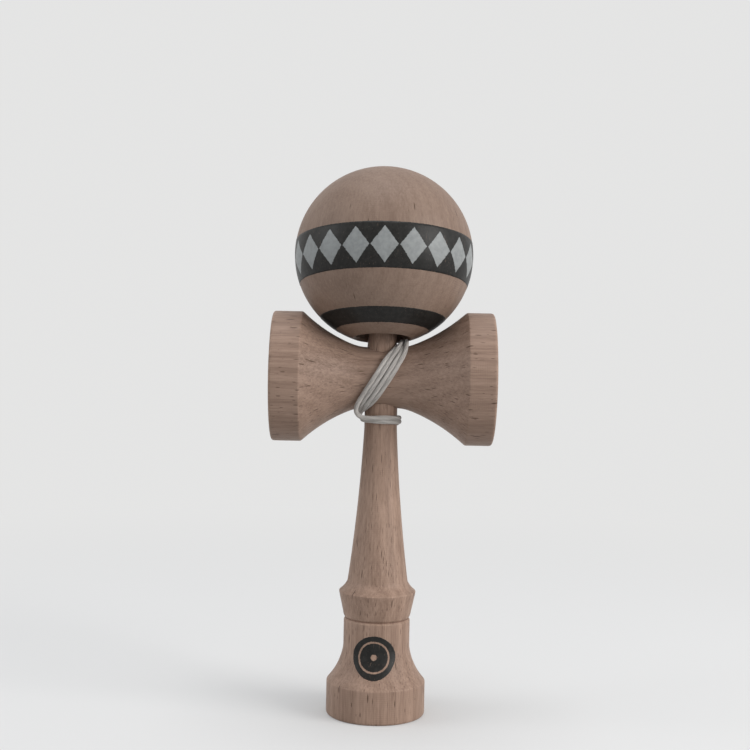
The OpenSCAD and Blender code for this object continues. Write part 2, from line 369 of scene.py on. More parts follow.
@dataclass(frozen=True)
class Pose:
    """Where a turned piece's own axes lie: its centre in millimetres and the directions of its axes."""

    centre: Array
    across: Array
    depth: Array
    axis: Array

    def at(self, centre: Place | Array) -> Pose:
        """The same directions about another centre."""
        return replace(self, centre=np.asarray(centre, float))

    def place(self, points: Array) -> Array:
        """Points of the piece's own frame in the toy's frame."""
        return self.centre + points @ np.stack([self.across, self.depth, self.axis])

    def turned(self, radius: Array, height: Array, angle: Array) -> Array:
        """Points at distances from the axis, heights along it and angles about it."""
        parts = [radius * np.cos(angle), radius * np.sin(angle), height]
        return self.place(np.stack(np.broadcast_arrays(*parts), axis=-1))

    def mapping(self) -> dict[str, tuple]:
        """Inputs of a Mapping node that takes places of the toy into the piece's own frame.

        Returns:
            The node's rotation and location, in radians and metres.
        """
        turn = np.stack([self.across, self.depth, self.axis])
        shift = -(turn @ self.centre) * MM
        return {"Rotation": tuple(Matrix(turn.tolist()).to_euler("XYZ")), "Location": tuple(shift.tolist())}


RIGHT, BACK, UP = np.eye(3)
UPRIGHT = Pose(np.zeros(3), RIGHT, BACK, UP)
SIDEWAYS = Pose(np.zeros(3), BACK, UP, RIGHT)
BACKWARD = Pose(np.zeros(3), RIGHT, -UP, BACK)


@dataclass(frozen=True)
class Lathe:
    """How a piece is turned: the radius of its corners, and its points along the outline and round it."""

    corner: float
    rows: int
    sides: int


def turned_piece(name: str, outline: Array, pose: Pose, lathe: Lathe, ends: Ends) -> Piece:
    """A turned solid: an outline of radius against height, rounded at its corners and spun about an axis.

    The surface is (r(s) cos a, r(s) sin a, h(s)) for the outline's points s and angles a. Points crowd
    where the outline bends. Each keeps its run along the outline and how sharply it bends there.

    Args:
        name: Name of the piece.
        outline: Radius and height of the outline's corners, with the wood to the left of the way.
        pose: Where the piece's axis lies.
        lathe: How it is turned.
        ends: Axis where the outline starts and ends on the axis, loop where it is closed.

    Returns:
        The new piece.
    """
    line = eased(outline, lathe.corner, ends)
    run, bend = lengths_along(line), bends(line, ends)
    crowd = 1.0 + CROWDING * np.minimum(np.abs(bend), SHARPEST_BEND)
    weight = np.concatenate([[0.0], np.cumsum((crowd[1:] + crowd[:-1]) / 2 * np.diff(run))])
    places = np.interp(np.linspace(0.0, weight[-1], lathe.rows + 1), weight, run)
    radius, height, sharp = (np.interp(places, run, v) for v in (line[:, 0], line[:, 1], bend))
    looped, sides = ends is Ends.LOOP, lathe.sides
    own = slice(0, -1) if looped else slice(1, -1)
    points = pose.turned(radius[own, None], height[own, None], round_angles(sides)).reshape(-1, 3)
    faces = grid_faces(len(points) // sides, sides, close_rows=looped)
    runs, edges = np.repeat(places[own], sides), np.repeat(sharp[own], sides)
    if not looped:
        faces += pointed_ends(len(points), sides)
        points = np.concatenate([points, pose.turned(np.zeros(2), height[[0, -1]], np.zeros(2))])
        runs = np.concatenate([runs, places[[0, -1]]])
        edges = np.concatenate([edges, np.zeros(2)])
    return mesh_piece(name, points, faces, run=runs, edge=edges)


def clear_slivers(mesh: bpy.types.Mesh) -> None:
    """Joins the points that a cut leaves on each other, and takes out those in the middle of a straight edge.

    Args:
        mesh: The mesh that was cut.
    """
    cut = bmesh.new()
    cut.from_mesh(mesh)
    bmesh.ops.remove_doubles(cut, verts=cut.verts, dist=SLIVER)
    bmesh.ops.dissolve_degenerate(cut, dist=SLIVER, edges=cut.edges)
    spare = [v for v in cut.verts if len(v.link_edges) == 2 and v.calc_edge_angle(1.0) < STRAIGHT]
    bmesh.ops.dissolve_verts(cut, verts=spare)
    bmesh.ops.triangulate(cut, faces=[f for f in cut.faces if len(f.verts) > 4])
    bmesh.ops.dissolve_degenerate(cut, dist=SLIVER, edges=cut.edges)
    cut.to_mesh(mesh)
    cut.free()


@dataclass(frozen=True)
class Hole:
    """A round hole: its pose, its radius, and the heights on its axis between which it runs. Millimetres."""

    pose: Pose
    radius: float
    low: float
    high: float
    lathe: Lathe = Lathe(0.02, 24, 72)

    def cutter(self) -> Piece:
        """The plug that cuts the hole."""
        outline = np.array([[0, self.low], [self.radius, self.low], [self.radius, self.high], [0, self.high]])
        return turned_piece("cutter", outline, self.pose, self.lathe, Ends.AXIS)


def drill(piece: Piece, holes: list[Hole]) -> None:
    """Cuts round holes in a piece.

    Args:
        piece: The piece to cut.
        holes: The holes.
    """
    cutters = [hole.cutter() for hole in holes]
    for cutter in cutters:
        cut = piece.modifiers.new("hole", "BOOLEAN")
        cut.operation, cut.solver, cut.object = "DIFFERENCE", "EXACT", cutter
    uncut = piece.data
    shown = piece.evaluated_get(bpy.context.evaluated_depsgraph_get())
    piece.data = bpy.data.meshes.new_from_object(shown)
    piece.modifiers.clear()
    piece.data.name = uncut.name
    clear_slivers(piece.data)
    piece.data.set_sharp_from_angle(angle=SHARP)
    bpy.data.meshes.remove(uncut)
    for cutter in cutters:
        bpy.data.meshes.remove(cutter.data)


# Shader nodes

def times(factor: float, colour: Colour) -> Colour:
    """A colour that is brighter or darker by a factor."""
    return tuple(factor * part for part in colour)


class Nodes:
    """Adds nodes to one shader tree and joins their sockets."""

    def __init__(self, tree: bpy.types.NodeTree) -> None:
        """Takes the tree that nodes are added to."""
        self.tree = tree

    def feed(self, socket: Socket, value: object) -> None:
        """Links a socket to another, or sets its own value.

        Args:
            socket: The socket to feed.
            value: Another socket, a number, a vector or a colour.
        """
        if isinstance(value, bpy.types.NodeSocket):
            self.tree.links.new(value, socket)
        elif isinstance(value, tuple) and len(value) == 3 and socket.type == "RGBA":
            socket.default_value = (*value, 1.0)
        else:
            socket.default_value = value

    def add(self, kind: str, inputs: dict | None = None, **settings: object) -> bpy.types.Node:
        """Adds a node.

        Args:
            kind: Blender's name for the node.
            inputs: Values or sockets for its inputs, by name or number.
            settings: Values of its own settings.

        Returns:
            The new node.
        """
        node = self.tree.nodes.new(kind)
        for key, value in settings.items():
            setattr(node, key, value)
        for key, value in (inputs or {}).items():
            self.feed(node.inputs[key], value)
        return node

    def math(self, operation: str, *values: object) -> Socket:
        """The result of a sum on numbers or sockets."""
        return self.add("ShaderNodeMath", dict(enumerate(values)), operation=operation).outputs[0]

    def vector(self, operation: str, *values: object) -> Socket:
        """The result of a sum on vectors, which is a number for a length or a distance."""
        outputs = self.add("ShaderNodeVectorMath", dict(enumerate(values)), operation=operation).outputs
        return outputs["Value" if operation in ("LENGTH", "DISTANCE") else "Vector"]

    def scaled(self, vector: Socket, factors: tuple[float, float, float]) -> Socket:
        """A vector with each part multiplied by its own factor."""
        return self.vector("MULTIPLY", vector, factors)

    def weighted(self, *parts: tuple[Socket, float]) -> Socket:
        """The sum of sockets, each times its own weight.

        Args:
            parts: The sockets with their weights.

        Returns:
            The sum.
        """
        total: object = 0.0
        for socket, weight in parts:
            total = self.math("MULTIPLY_ADD", socket, weight, total)
        return total

    def most(self, *values: Socket) -> Socket:
        """The greatest of some sockets.

        Args:
            values: The sockets.

        Returns:
            The greatest value.
        """
        greatest = values[0]
        for value in values[1:]:
            greatest = self.math("MAXIMUM", greatest, value)
        return greatest

    def between(self, value: Socket, low: object, high: object) -> Socket:
        """A soft step from 0 at the low value to 1 at the high one."""
        inputs = {"Value": value, "From Min": low, "From Max": high}
        return self.add("ShaderNodeMapRange", inputs, interpolation_type="SMOOTHSTEP").outputs[0]

    def mix(self, factor: object, first: object, second: object, blend: str = "MIX") -> Socket:
        """Two colours mixed by a factor."""
        inputs = {0: factor, 6: first, 7: second}
        return self.add("ShaderNodeMix", inputs, data_type="RGBA", blend_type=blend).outputs[2]

    def noise(self, vector: Socket, scale: float, detail: float = 2.0, rough: float = 0.5) -> Socket:
        """A cloudy random value of about 0 to 1, with the given number of clouds to the unit."""
        inputs = {"Vector": vector, "Scale": scale, "Detail": detail, "Roughness": rough}
        return self.add("ShaderNodeTexNoise", inputs).outputs[0]

    def drawn_out(self, vector: Socket, stretch: float, scale: float, detail: float, rough: float) -> Socket:
        """Noise that is drawn out along Z, more so for a smaller stretch."""
        return self.noise(self.scaled(vector, (1.0, 1.0, stretch)), scale, detail, rough)

    def attribute(self, name: str, output: str) -> Socket:
        """A value that the piece keeps at its points."""
        return self.add("ShaderNodeAttribute", attribute_name=name).outputs[output]


class Effect:
    """A shader node group that materials share, built once."""

    NAME = ""
    INPUTS: dict[str, str] = {}
    OUTPUTS: dict[str, str] = {}

    @classmethod
    def place(cls, nodes: Nodes, **inputs: object) -> bpy.types.NodeOutputs:
        """Places the group in a tree.

        Args:
            nodes: The tree's nodes.
            inputs: Values or sockets for the group's inputs.

        Returns:
            The group's outputs.
        """
        group = bpy.data.node_groups.get(cls.NAME) or cls.build()
        return nodes.add("ShaderNodeGroup", inputs, node_tree=group).outputs

    @classmethod
    def build(cls) -> bpy.types.NodeTree:
        """Makes the group with its sockets and fills it.

        Returns:
            The new group.
        """
        group = bpy.data.node_groups.new(cls.NAME, "ShaderNodeTree")
        for names, side in ((cls.INPUTS, "INPUT"), (cls.OUTPUTS, "OUTPUT")):
            for name, kind in names.items():
                group.interface.new_socket(name=name, in_out=side, socket_type=f"NodeSocket{kind}")
        nodes = Nodes(group)
        given = nodes.add("NodeGroupInput").outputs
        results = cls.fill(nodes, {name: given[name] for name in cls.INPUTS})
        nodes.add("NodeGroupOutput", results)
        return group

    @classmethod
    def fill(cls, nodes: Nodes, given: dict[str, Socket]) -> dict[str, Socket]:
        """Adds the nodes inside the group.

        Args:
            nodes: The group's nodes.
            given: The group's inputs by name.

        Returns:
            The group's results by name.
        """
        raise NotImplementedError


class BeechGrain(Effect):
    """Beech in millimetres, with the grain along Z: growth rings, fibres, pores, and flecks on its skin."""

    NAME = "beech_grain"
    INPUTS = {
        "Vector": "Vector", "Run": "Float", "Girth": "Float",
        "Pale": "Color", "Deep": "Color", "Fleck": "Color", "Flecks": "Float",
    }
    OUTPUTS = {"Color": "Color", "Roughness": "Float", "Height": "Float"}
    # Length of a wave at a scale of 1, which is a twentieth of a turn
    WAVE = TURN / 20
    # The growth rings' width, how far off the tree's middle lies, and how they run along the grain and waver
    RING_WIDTH = 2.6
    RING_CENTRE = (31.0, 46.0, 0.0)
    RING_STRETCH = 0.12
    RING_WAVER = {"Distortion": 2.4, "Detail": 2.0, "Detail Scale": 1.2}
    # Layers of noise: their stretch along the grain, clouds to the millimetre, detail and roughness
    PATCHES, FIBRES, HAIRS = (0.3, 0.11, 2.0, 0.5), (0.04, 2.4, 4.0, 0.62), (0.06, 9.0, 2.0, 0.6)
    # What rings, patches, fibres and hairs add to the tone, and the tones that are pale and deep
    TONE_WEIGHTS = (0.09, 0.42, 0.66, 0.36)
    TONES = (0.42, 1.1)
    # What fibres, hairs and dashes add to the height, and the roughness with what the fibres add to it
    HEIGHT_WEIGHTS = (0.5, 0.35, -0.9)
    ROUGHNESS, FIBRE_ROUGHNESS = 0.44, 0.16
    # Width and length of a cell that may hold a dash, and how dark the dash is beside a long fleck
    LONG_FLECK, SHORT_FLECK, PORE = (0.58, 4.4), (0.44, 2.4), (0.34, 4.6)
    SHORT_SHADE, PORE_SHADE, FLECK_SHADE = 0.75, 0.5, 0.82
    # Least and further size of a dash in its cell, and the share of it that is fully dark
    DASH_LEAST, DASH_MORE, DASH_CORE = 0.1, 0.2, 0.45

    @classmethod
    def dashes(cls, nodes: Nodes, vector: Socket, cell: tuple[float, float], share: Socket) -> Socket:
        """Dark dashes along the grain: stretched cells, of which a random share is filled at its middle.

        Args:
            nodes: The tree's nodes.
            vector: Place in the wood.
            cell: Size of a cell across and along the grain.
            share: Share of the cells that has a dash.

        Returns:
            A mask, 1 in a dash.
        """
        width, length = cell
        place = nodes.scaled(vector, (1 / width, 1 / width, 1 / length))
        cells = nodes.add("ShaderNodeTexVoronoi", {"Vector": place, "Scale": 1.0}).outputs
        draws = nodes.add("ShaderNodeSeparateColor", {0: cells["Color"]}).outputs
        size = nodes.math("MULTIPLY_ADD", draws[1], cls.DASH_MORE, cls.DASH_LEAST)
        inside = nodes.between(cells["Distance"], size, nodes.math("MULTIPLY", size, cls.DASH_CORE))
        return nodes.math("MULTIPLY", inside, nodes.math("LESS_THAN", draws[0], share))

    @classmethod
    def skin(cls, nodes: Nodes, given: dict[str, Socket]) -> Socket:
        """The piece's skin unrolled on a cylinder of its girth.

        Args:
            nodes: The group's nodes.
            given: The group's inputs by name.

        Returns:
            The way out from the axis times the girth, with the run along the outline as its height.
        """
        out = nodes.vector("NORMALIZE", nodes.scaled(given["Vector"], (1.0, 1.0, 0.0)))
        wide = nodes.vector("MULTIPLY", out, given["Girth"])
        along = nodes.add("ShaderNodeCombineXYZ", {2: given["Run"]}).outputs[0]
        return nodes.vector("ADD", wide, along)

    @classmethod
    def fill(cls, nodes: Nodes, given: dict[str, Socket]) -> dict[str, Socket]:
        """Adds the grain's nodes: layers of tone, then dashes on the skin and in the wood.

        Args:
            nodes: The group's nodes.
            given: The group's inputs by name.

        Returns:
            The wood's colour, roughness and height.
        """
        place = given["Vector"]
        ring_place = nodes.scaled(nodes.vector("ADD", place, cls.RING_CENTRE), (1.0, 1.0, cls.RING_STRETCH))
        wave = {"Vector": ring_place, "Scale": cls.WAVE / cls.RING_WIDTH} | cls.RING_WAVER
        rings = nodes.add("ShaderNodeTexWave", wave, wave_type="RINGS", rings_direction="Z").outputs[1]
        layers = (cls.PATCHES, cls.FIBRES, cls.HAIRS)
        patches, fibres, hairs = (nodes.drawn_out(place, *layer) for layer in layers)
        tone = nodes.weighted(*zip((rings, patches, fibres, hairs), cls.TONE_WEIGHTS))
        colour = nodes.mix(nodes.between(tone, *cls.TONES), given["Pale"], given["Deep"])
        skin, share = cls.skin(nodes, given), given["Flecks"]
        flecks = cls.dashes(nodes, skin, cls.LONG_FLECK, share)
        short = nodes.math("MULTIPLY", cls.dashes(nodes, skin, cls.SHORT_FLECK, share), cls.SHORT_SHADE)
        pores = nodes.math("MULTIPLY", cls.dashes(nodes, place, cls.PORE, share), cls.PORE_SHADE)
        dark = nodes.most(flecks, short, pores)
        colour = nodes.mix(nodes.math("MULTIPLY", dark, cls.FLECK_SHADE), colour, given["Fleck"])
        roughness = nodes.math("MULTIPLY_ADD", fibres, cls.FIBRE_ROUGHNESS, cls.ROUGHNESS)
        height = nodes.weighted(*zip((fibres, hairs, dark), cls.HEIGHT_WEIGHTS))
        return {"Color": colour, "Roughness": roughness, "Height": height}


class EdgeWearAndShade(Effect):
    """Turned edges: rubbed pale with a painted highlight where the outline bends out, and painted shade in
    its grooves.
    """

    NAME = "handled_edges"
    INPUTS = {"Color": "Color", "Edge": "Float", "Vector": "Vector"}
    OUTPUTS = {"Color": "Color"}
    # Bends at which the rubbing with its painted highlight and the painted shade in grooves start and are
    # full, their strengths, and how they tint the wood
    PROUD, SUNK = (0.8, 2.2), (1.2, 2.6)
    RUBBED, GRIMED = 0.7, 0.75
    PALER, DARKER = (1.2, 1.2, 1.2), (0.52, 0.44, 0.4)
    # Clouds to the millimetre that the rubbing and its painted highlight come in with their detail, and where
    # they start and are full
    CLOUDS, CLOUDED = (0.7, 3.0), (0.35, 0.65)

    @classmethod
    def fill(cls, nodes: Nodes, given: dict[str, Socket]) -> dict[str, Socket]:
        """Adds the edges' nodes: paler rubbed edges with a painted highlight, and painted shade in the
        grooves.

        Args:
            nodes: The group's nodes.
            given: The group's inputs by name.

        Returns:
            The colour.
        """
        patchy = nodes.between(nodes.noise(given["Vector"], *cls.CLOUDS), *cls.CLOUDED)
        proud = nodes.math("MULTIPLY", nodes.between(given["Edge"], *cls.PROUD), patchy)
        # Painted shade: the grooves are darkened in colour where shade falls
        sunk = nodes.between(nodes.math("MULTIPLY", given["Edge"], -1.0), *cls.SUNK)
        pale = nodes.mix(1.0, given["Color"], cls.PALER, "MULTIPLY")
        dark = nodes.mix(1.0, given["Color"], cls.DARKER, "MULTIPLY")
        # Rubbed wear with a painted highlight on edges that bend out, then painted shade in the grooves
        colour = nodes.mix(nodes.math("MULTIPLY", proud, cls.RUBBED), given["Color"], pale)
        return {"Color": nodes.mix(nodes.math("MULTIPLY", sunk, cls.GRIMED), colour, dark)}


class TurningMarks(Effect):
    """Fine ridges that the turning tool leaves round a piece, from the run along its outline."""

    NAME = "turning_marks"
    INPUTS = {"Run": "Float", "Vector": "Vector"}
    OUTPUTS = {"Height": "Float"}
    # Millimetres from ridge to ridge, and how far they drift
    RIDGE = 0.42
    DRIFT = 9.0
    # Clouds to the millimetre that they come in, and where these start and are full
    CLOUDS, CLOUDED = 0.25, (0.3, 0.7)

    @classmethod
    def fill(cls, nodes: Nodes, given: dict[str, Socket]) -> dict[str, Socket]:
        """Adds the ridges' nodes: a sine of the run, stronger in some places.

        Args:
            nodes: The group's nodes.
            given: The group's inputs by name.

        Returns:
            The ridges' height.
        """
        drift = nodes.noise(given["Vector"], cls.CLOUDS)
        ridges = nodes.math("SINE", nodes.weighted((drift, cls.DRIFT), (given["Run"], TURN / cls.RIDGE)))
        return {"Height": nodes.math("MULTIPLY", ridges, nodes.between(drift, *cls.CLOUDED))}


class PrintWear(Effect):
    """Printed ink on open grain: specks and hair lines that the ink doesn't fill."""

    NAME = "print_wear"
    INPUTS = {"Vector": "Vector"}
    OUTPUTS = {"Bare": "Float", "Mottle": "Float"}
    # Noise of the specks, the hair lines and the mottle, and where specks and lines start and are full
    SPECKS, HAIRS, MOTTLE = (4.5, 2.0, 0.6), (0.08, 5.0, 2.0, 0.5), (1.1, 3.0)
    SPECKED, LINED = (0.69, 0.76), (0.66, 0.74)
    # How bare a hair line is beside a speck
    LINE_SHADE = 0.5

    @classmethod
    def fill(cls, nodes: Nodes, given: dict[str, Socket]) -> dict[str, Socket]:
        """Adds the wear's nodes.

        Args:
            nodes: The group's nodes.
            given: The group's inputs by name.

        Returns:
            A mask of the bare spots, and a cloudy value for the ink's tone.
        """
        place = given["Vector"]
        specks = nodes.between(nodes.noise(place, *cls.SPECKS), *cls.SPECKED)
        hairs = nodes.between(nodes.drawn_out(place, *cls.HAIRS), *cls.LINED)
        lines = nodes.math("MULTIPLY", hairs, cls.LINE_SHADE)
        return {"Bare": nodes.most(specks, lines), "Mottle": nodes.noise(place, *cls.MOTTLE)}


# Finishes

class Surface:
    """A new material with its nodes and its surface shader."""

    def __init__(self, name: str) -> None:
        """Makes the material.

        Args:
            name: Its name.
        """
        self.material = bpy.data.materials.new(name)
        self.material.use_nodes = True
        self.nodes = Nodes(self.material.node_tree)
        self.shader = self.material.node_tree.nodes["Principled BSDF"]

    def set(self, **inputs: object) -> None:
        """Feeds the shader's inputs, which are named with _ for a space."""
        for key, value in inputs.items():
            self.nodes.feed(self.shader.inputs[key.replace("_", " ")], value)

    def bump(self, height: Socket, strength: float, distance: float) -> None:
        """Gives the surface relief.

        Args:
            height: Height over the surface.
            strength: How strongly the relief shows.
            distance: Metres for a height of 1.
        """
        inputs = {"Strength": strength, "Distance": distance, "Height": height}
        self.set(Normal=self.nodes.add("ShaderNodeBump", inputs).outputs[0])


@dataclass(frozen=True)
class Beech:
    """Bare beech, sanded and waxed, with its grain along a piece's axis of turning."""

    name: str
    pose: Pose
    pale: Colour
    deep: Colour
    flecks: float
    girth: float
    fleck: Colour = (0.075, 0.04, 0.024)
    marks: float = 0.12
    gloss: float = 0.25
    relief: tuple[float, float] = (0.55, 0.00008)

    def grain(self, nodes: Nodes, run: Socket | None = None) -> tuple[Socket, bpy.types.NodeOutputs]:
        """Places the grain in a tree.

        Args:
            nodes: The tree's nodes.
            run: Run along the piece's outline, or nothing for the height on its axis.

        Returns:
            The place in the wood in millimetres, and the grain's outputs.
        """
        here = nodes.add("ShaderNodeTexCoord").outputs["Object"]
        turn = nodes.add("ShaderNodeMapping", {"Vector": here} | self.pose.mapping(), vector_type="POINT")
        place = nodes.scaled(turn.outputs[0], (1 / MM, 1 / MM, 1 / MM))
        if run is None:
            run = nodes.add("ShaderNodeSeparateXYZ", {0: place}).outputs[2]
        inputs = {"Vector": place, "Run": run, "Girth": self.girth}
        inputs |= {"Pale": self.pale, "Deep": self.deep, "Fleck": self.fleck, "Flecks": self.flecks}
        return place, BeechGrain.place(nodes, **inputs)

    def material(self) -> Material:
        """Makes the wood's material, with rubbed edges that carry a painted highlight, painted shade in the
        grooves, and turning marks.

        Returns:
            The new material.
        """
        surface = Surface(self.name)
        nodes = surface.nodes
        run, edge = nodes.attribute("run", "Fac"), nodes.attribute("edge", "Fac")
        place, grain = self.grain(nodes, run)
        # Rubbed edges lightened with a painted highlight, and grooves darkened with painted shade
        colour = EdgeWearAndShade.place(nodes, Color=grain["Color"], Edge=edge, Vector=place)[0]
        marks = TurningMarks.place(nodes, Run=run, Vector=place)[0]
        surface.set(Base_Color=colour, Roughness=grain["Roughness"], Specular_IOR_Level=self.gloss)
        surface.bump(nodes.math("MULTIPLY_ADD", marks, self.marks, grain["Height"]), *self.relief)
        return surface.material


@dataclass(frozen=True)
class Ink:
    """Black print on beech, worn thin where the grain is open."""

    name: str
    wood: Beech
    black: Colour = (0.0135, 0.013, 0.012)
    worn_black: float = 1.9
    worn_second: float = 0.82
    mottled: tuple[float, float] = (0.3, 0.8)
    second_mottled: tuple[float, float] = (0.3, 0.75)
    edge_clouds: float = 2.6
    bareness: float = 0.55
    roughness: float = 0.4
    bare_roughness: float = 0.12
    gloss: float = 0.2
    relief: tuple[float, float] = (0.4, 0.00006)

    def motif(self, nodes: Nodes, place: Socket) -> tuple[Socket | None, Colour]:
        """A mask of the print's second colour, or nothing, and that colour."""
        return None, self.black

    def reserve(self, nodes: Nodes, place: Socket) -> Socket | None:
        """A mask of what the print leaves bare, or nothing."""
        return None

    def material(self) -> Material:
        """Makes the print's material: mottled ink and its motif, with the wood where it is bare.

        Returns:
            The new material.
        """
        surface = Surface(self.name)
        nodes = surface.nodes
        place, grain = self.wood.grain(nodes)
        wear = PrintWear.place(nodes, Vector=place)
        worn = nodes.between(wear["Mottle"], *self.mottled)
        colour = nodes.mix(worn, self.black, times(self.worn_black, self.black))
        mask, second = self.motif(nodes, place)
        if mask is not None:
            worn = nodes.between(wear["Mottle"], *self.second_mottled)
            colour = nodes.mix(mask, colour, nodes.mix(worn, second, times(self.worn_second, second)))
        bare = nodes.math("MULTIPLY", wear["Bare"], self.bareness)
        kept = self.reserve(nodes, place)
        if kept is not None:
            bare = nodes.most(bare, kept)
        colour = nodes.mix(bare, colour, grain["Color"])
        roughness = nodes.math("MULTIPLY_ADD", bare, self.bare_roughness, self.roughness)
        surface.set(Base_Color=colour, Roughness=roughness, Specular_IOR_Level=self.gloss)
        surface.bump(grain["Height"], *self.relief)
        return surface.material


@dataclass(frozen=True)
class LozengeInk(Ink):
    """Black print with a row of grey lozenges round the ball."""

    grey: Colour = (0.33, 0.345, 0.345)
    count: int = 20
    middle: float = 0.0
    height: float = 7.0
    width: float = 0.95
    ragged: float = 0.16
    soft: float = 0.02

    def motif(self, nodes: Nodes, place: Socket) -> tuple[Socket | None, Colour]:
        """Lozenges, where distances from a cell's middle, as shares of its half sizes, add up to under 1.

        Args:
            nodes: The material's nodes.
            place: Place in the wood.

        Returns:
            A mask of the lozenges, and their colour.
        """
        parts = nodes.add("ShaderNodeSeparateXYZ", {0: place}).outputs
        turn = nodes.math("ARCTAN2", parts[0], nodes.math("MULTIPLY", parts[1], -1.0))
        cell = nodes.math("FRACT", nodes.math("MULTIPLY_ADD", turn, self.count / TURN, self.count + 0.5))
        beside = nodes.math("ABSOLUTE", nodes.math("SUBTRACT", cell, 0.5))
        above = nodes.math("ABSOLUTE", nodes.math("SUBTRACT", parts[2], self.middle))
        rough_edge = nodes.math("SUBTRACT", nodes.noise(place, self.edge_clouds), 0.5)
        total = nodes.weighted((above, 2 / self.height), (beside, 2 / self.width), (rough_edge, self.ragged))
        return nodes.between(total, 1 + self.soft, 1 - self.soft), self.grey


@dataclass(frozen=True)
class RingInk(Ink):
    """Black print with a bare ring and a bare dot in it."""

    centre: Place = (0.0, 0.0, 0.0)
    ring: float = 3.0
    ring_width: float = 0.36
    ring_soft: float = 0.05
    dot: float = 0.6
    dot_soft: float = 0.06
    ragged: float = 0.22

    def reserve(self, nodes: Nodes, place: Socket) -> Socket | None:
        """A ring and a dot, from the distance to the print's centre with a little noise on it.

        Args:
            nodes: The material's nodes.
            place: Place in the wood.

        Returns:
            A mask of the ring and the dot.
        """
        span = nodes.math("SUBTRACT", nodes.vector("DISTANCE", place, self.centre), self.ragged / 2)
        span = nodes.math("MULTIPLY_ADD", nodes.noise(place, self.edge_clouds), self.ragged, span)
        off, half = nodes.math("ABSOLUTE", nodes.math("SUBTRACT", span, self.ring)), self.ring_width / 2
        ring = nodes.between(off, half + self.ring_soft, half - self.ring_soft)
        return nodes.most(ring, nodes.between(span, self.dot + self.dot_soft, self.dot - self.dot_soft))


@dataclass(frozen=True)
class Cotton:
    """Soft, loosely spun string. Its fibres follow the values that the string keeps at its points."""

    name: str = "spun_string"
    pale: Colour = (0.66, 0.625, 0.59)
    deep: Colour = (0.385, 0.36, 0.335)
    streaks: tuple[float, float, float] = (0.22, 4.0, 4.0)
    hairs: tuple[float, float, float] = (0.6, 13.0, 13.0)
    clouds: float = 0.25
    tone_weights: tuple[float, float, float] = (0.65, 0.55, 0.25)
    tones: tuple[float, float] = (0.5, 1.0)
    # Painted shade in the valleys between the plies: the deep tone's factor, the edge values where it starts
    # and is full, and its strength
    valley: float = 0.6
    valley_edge: tuple[float, float] = (0.7, 0.2)
    painted_valley_shade: float = 0.3
    height_weights: tuple[float, float] = (1.0, 0.6)
    roughness: float = 0.85
    gloss: float = 0.2
    sheen: float = 0.25
    sheen_roughness: float = 0.5
    relief: tuple[float, float] = (0.7, 0.00012)

    def material(self) -> Material:
        """Makes the string's material: streaks and hairs along it, and painted shade in the valleys between
        its plies.

        Returns:
            The new material.
        """
        surface = Surface(self.name)
        nodes = surface.nodes
        fibre = nodes.attribute("fibre", "Vector")
        streaks = nodes.noise(nodes.scaled(fibre, self.streaks), 1.0, 3.0, 0.65)
        hairs = nodes.noise(nodes.scaled(fibre, self.hairs), 1.0, 2.0, 0.6)
        layers = (streaks, hairs, nodes.noise(fibre, self.clouds))
        tone = nodes.weighted(*zip(layers, self.tone_weights))
        colour = nodes.mix(nodes.between(tone, *self.tones), self.pale, self.deep)
        # Painted shade: the valleys between the plies are darkened in colour
        valley = nodes.between(nodes.attribute("edge", "Fac"), *self.valley_edge)
        shade = nodes.math("MULTIPLY", valley, self.painted_valley_shade)
        colour = nodes.mix(shade, colour, times(self.valley, self.deep))
        surface.set(Base_Color=colour, Roughness=self.roughness, Specular_IOR_Level=self.gloss)
        surface.set(Sheen_Weight=self.sheen, Sheen_Roughness=self.sheen_roughness)
        surface.bump(nodes.weighted(*zip((streaks, hairs), self.height_weights)), *self.relief)
        return surface.material


# Sub-assemblies of the toy

class Body(Enum):
    """The frame's moving bodies."""

    HANDLE = "handle"
    STRING_END = "string_end"
    BALL = "ball"


class Slot(Enum):
    """The record's material slots."""

    SWORD = "beech_sword"
    CROSS_CUP = "beech_cross_cup"
    BALL = "beech_ball"
    INK = "ink"
    STRING = "string"


def finish_piece(piece: Piece, material: Material, node: str, body: Body | None) -> Piece:
    """Dresses a piece, puts it in place of a CAD node and lets it ride on a body.

    Args:
        piece: The piece.
        material: Its material.
        node: The CAD node that it stands for.
        body: The body it rides on, or nothing where it runs between two, which leaves it unattached.

    Returns:
        The piece.
    """
    piece.data.materials.clear()
    piece.data.materials.append(material)
    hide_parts(node)
    if body:
        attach(piece, body.value)
    return piece


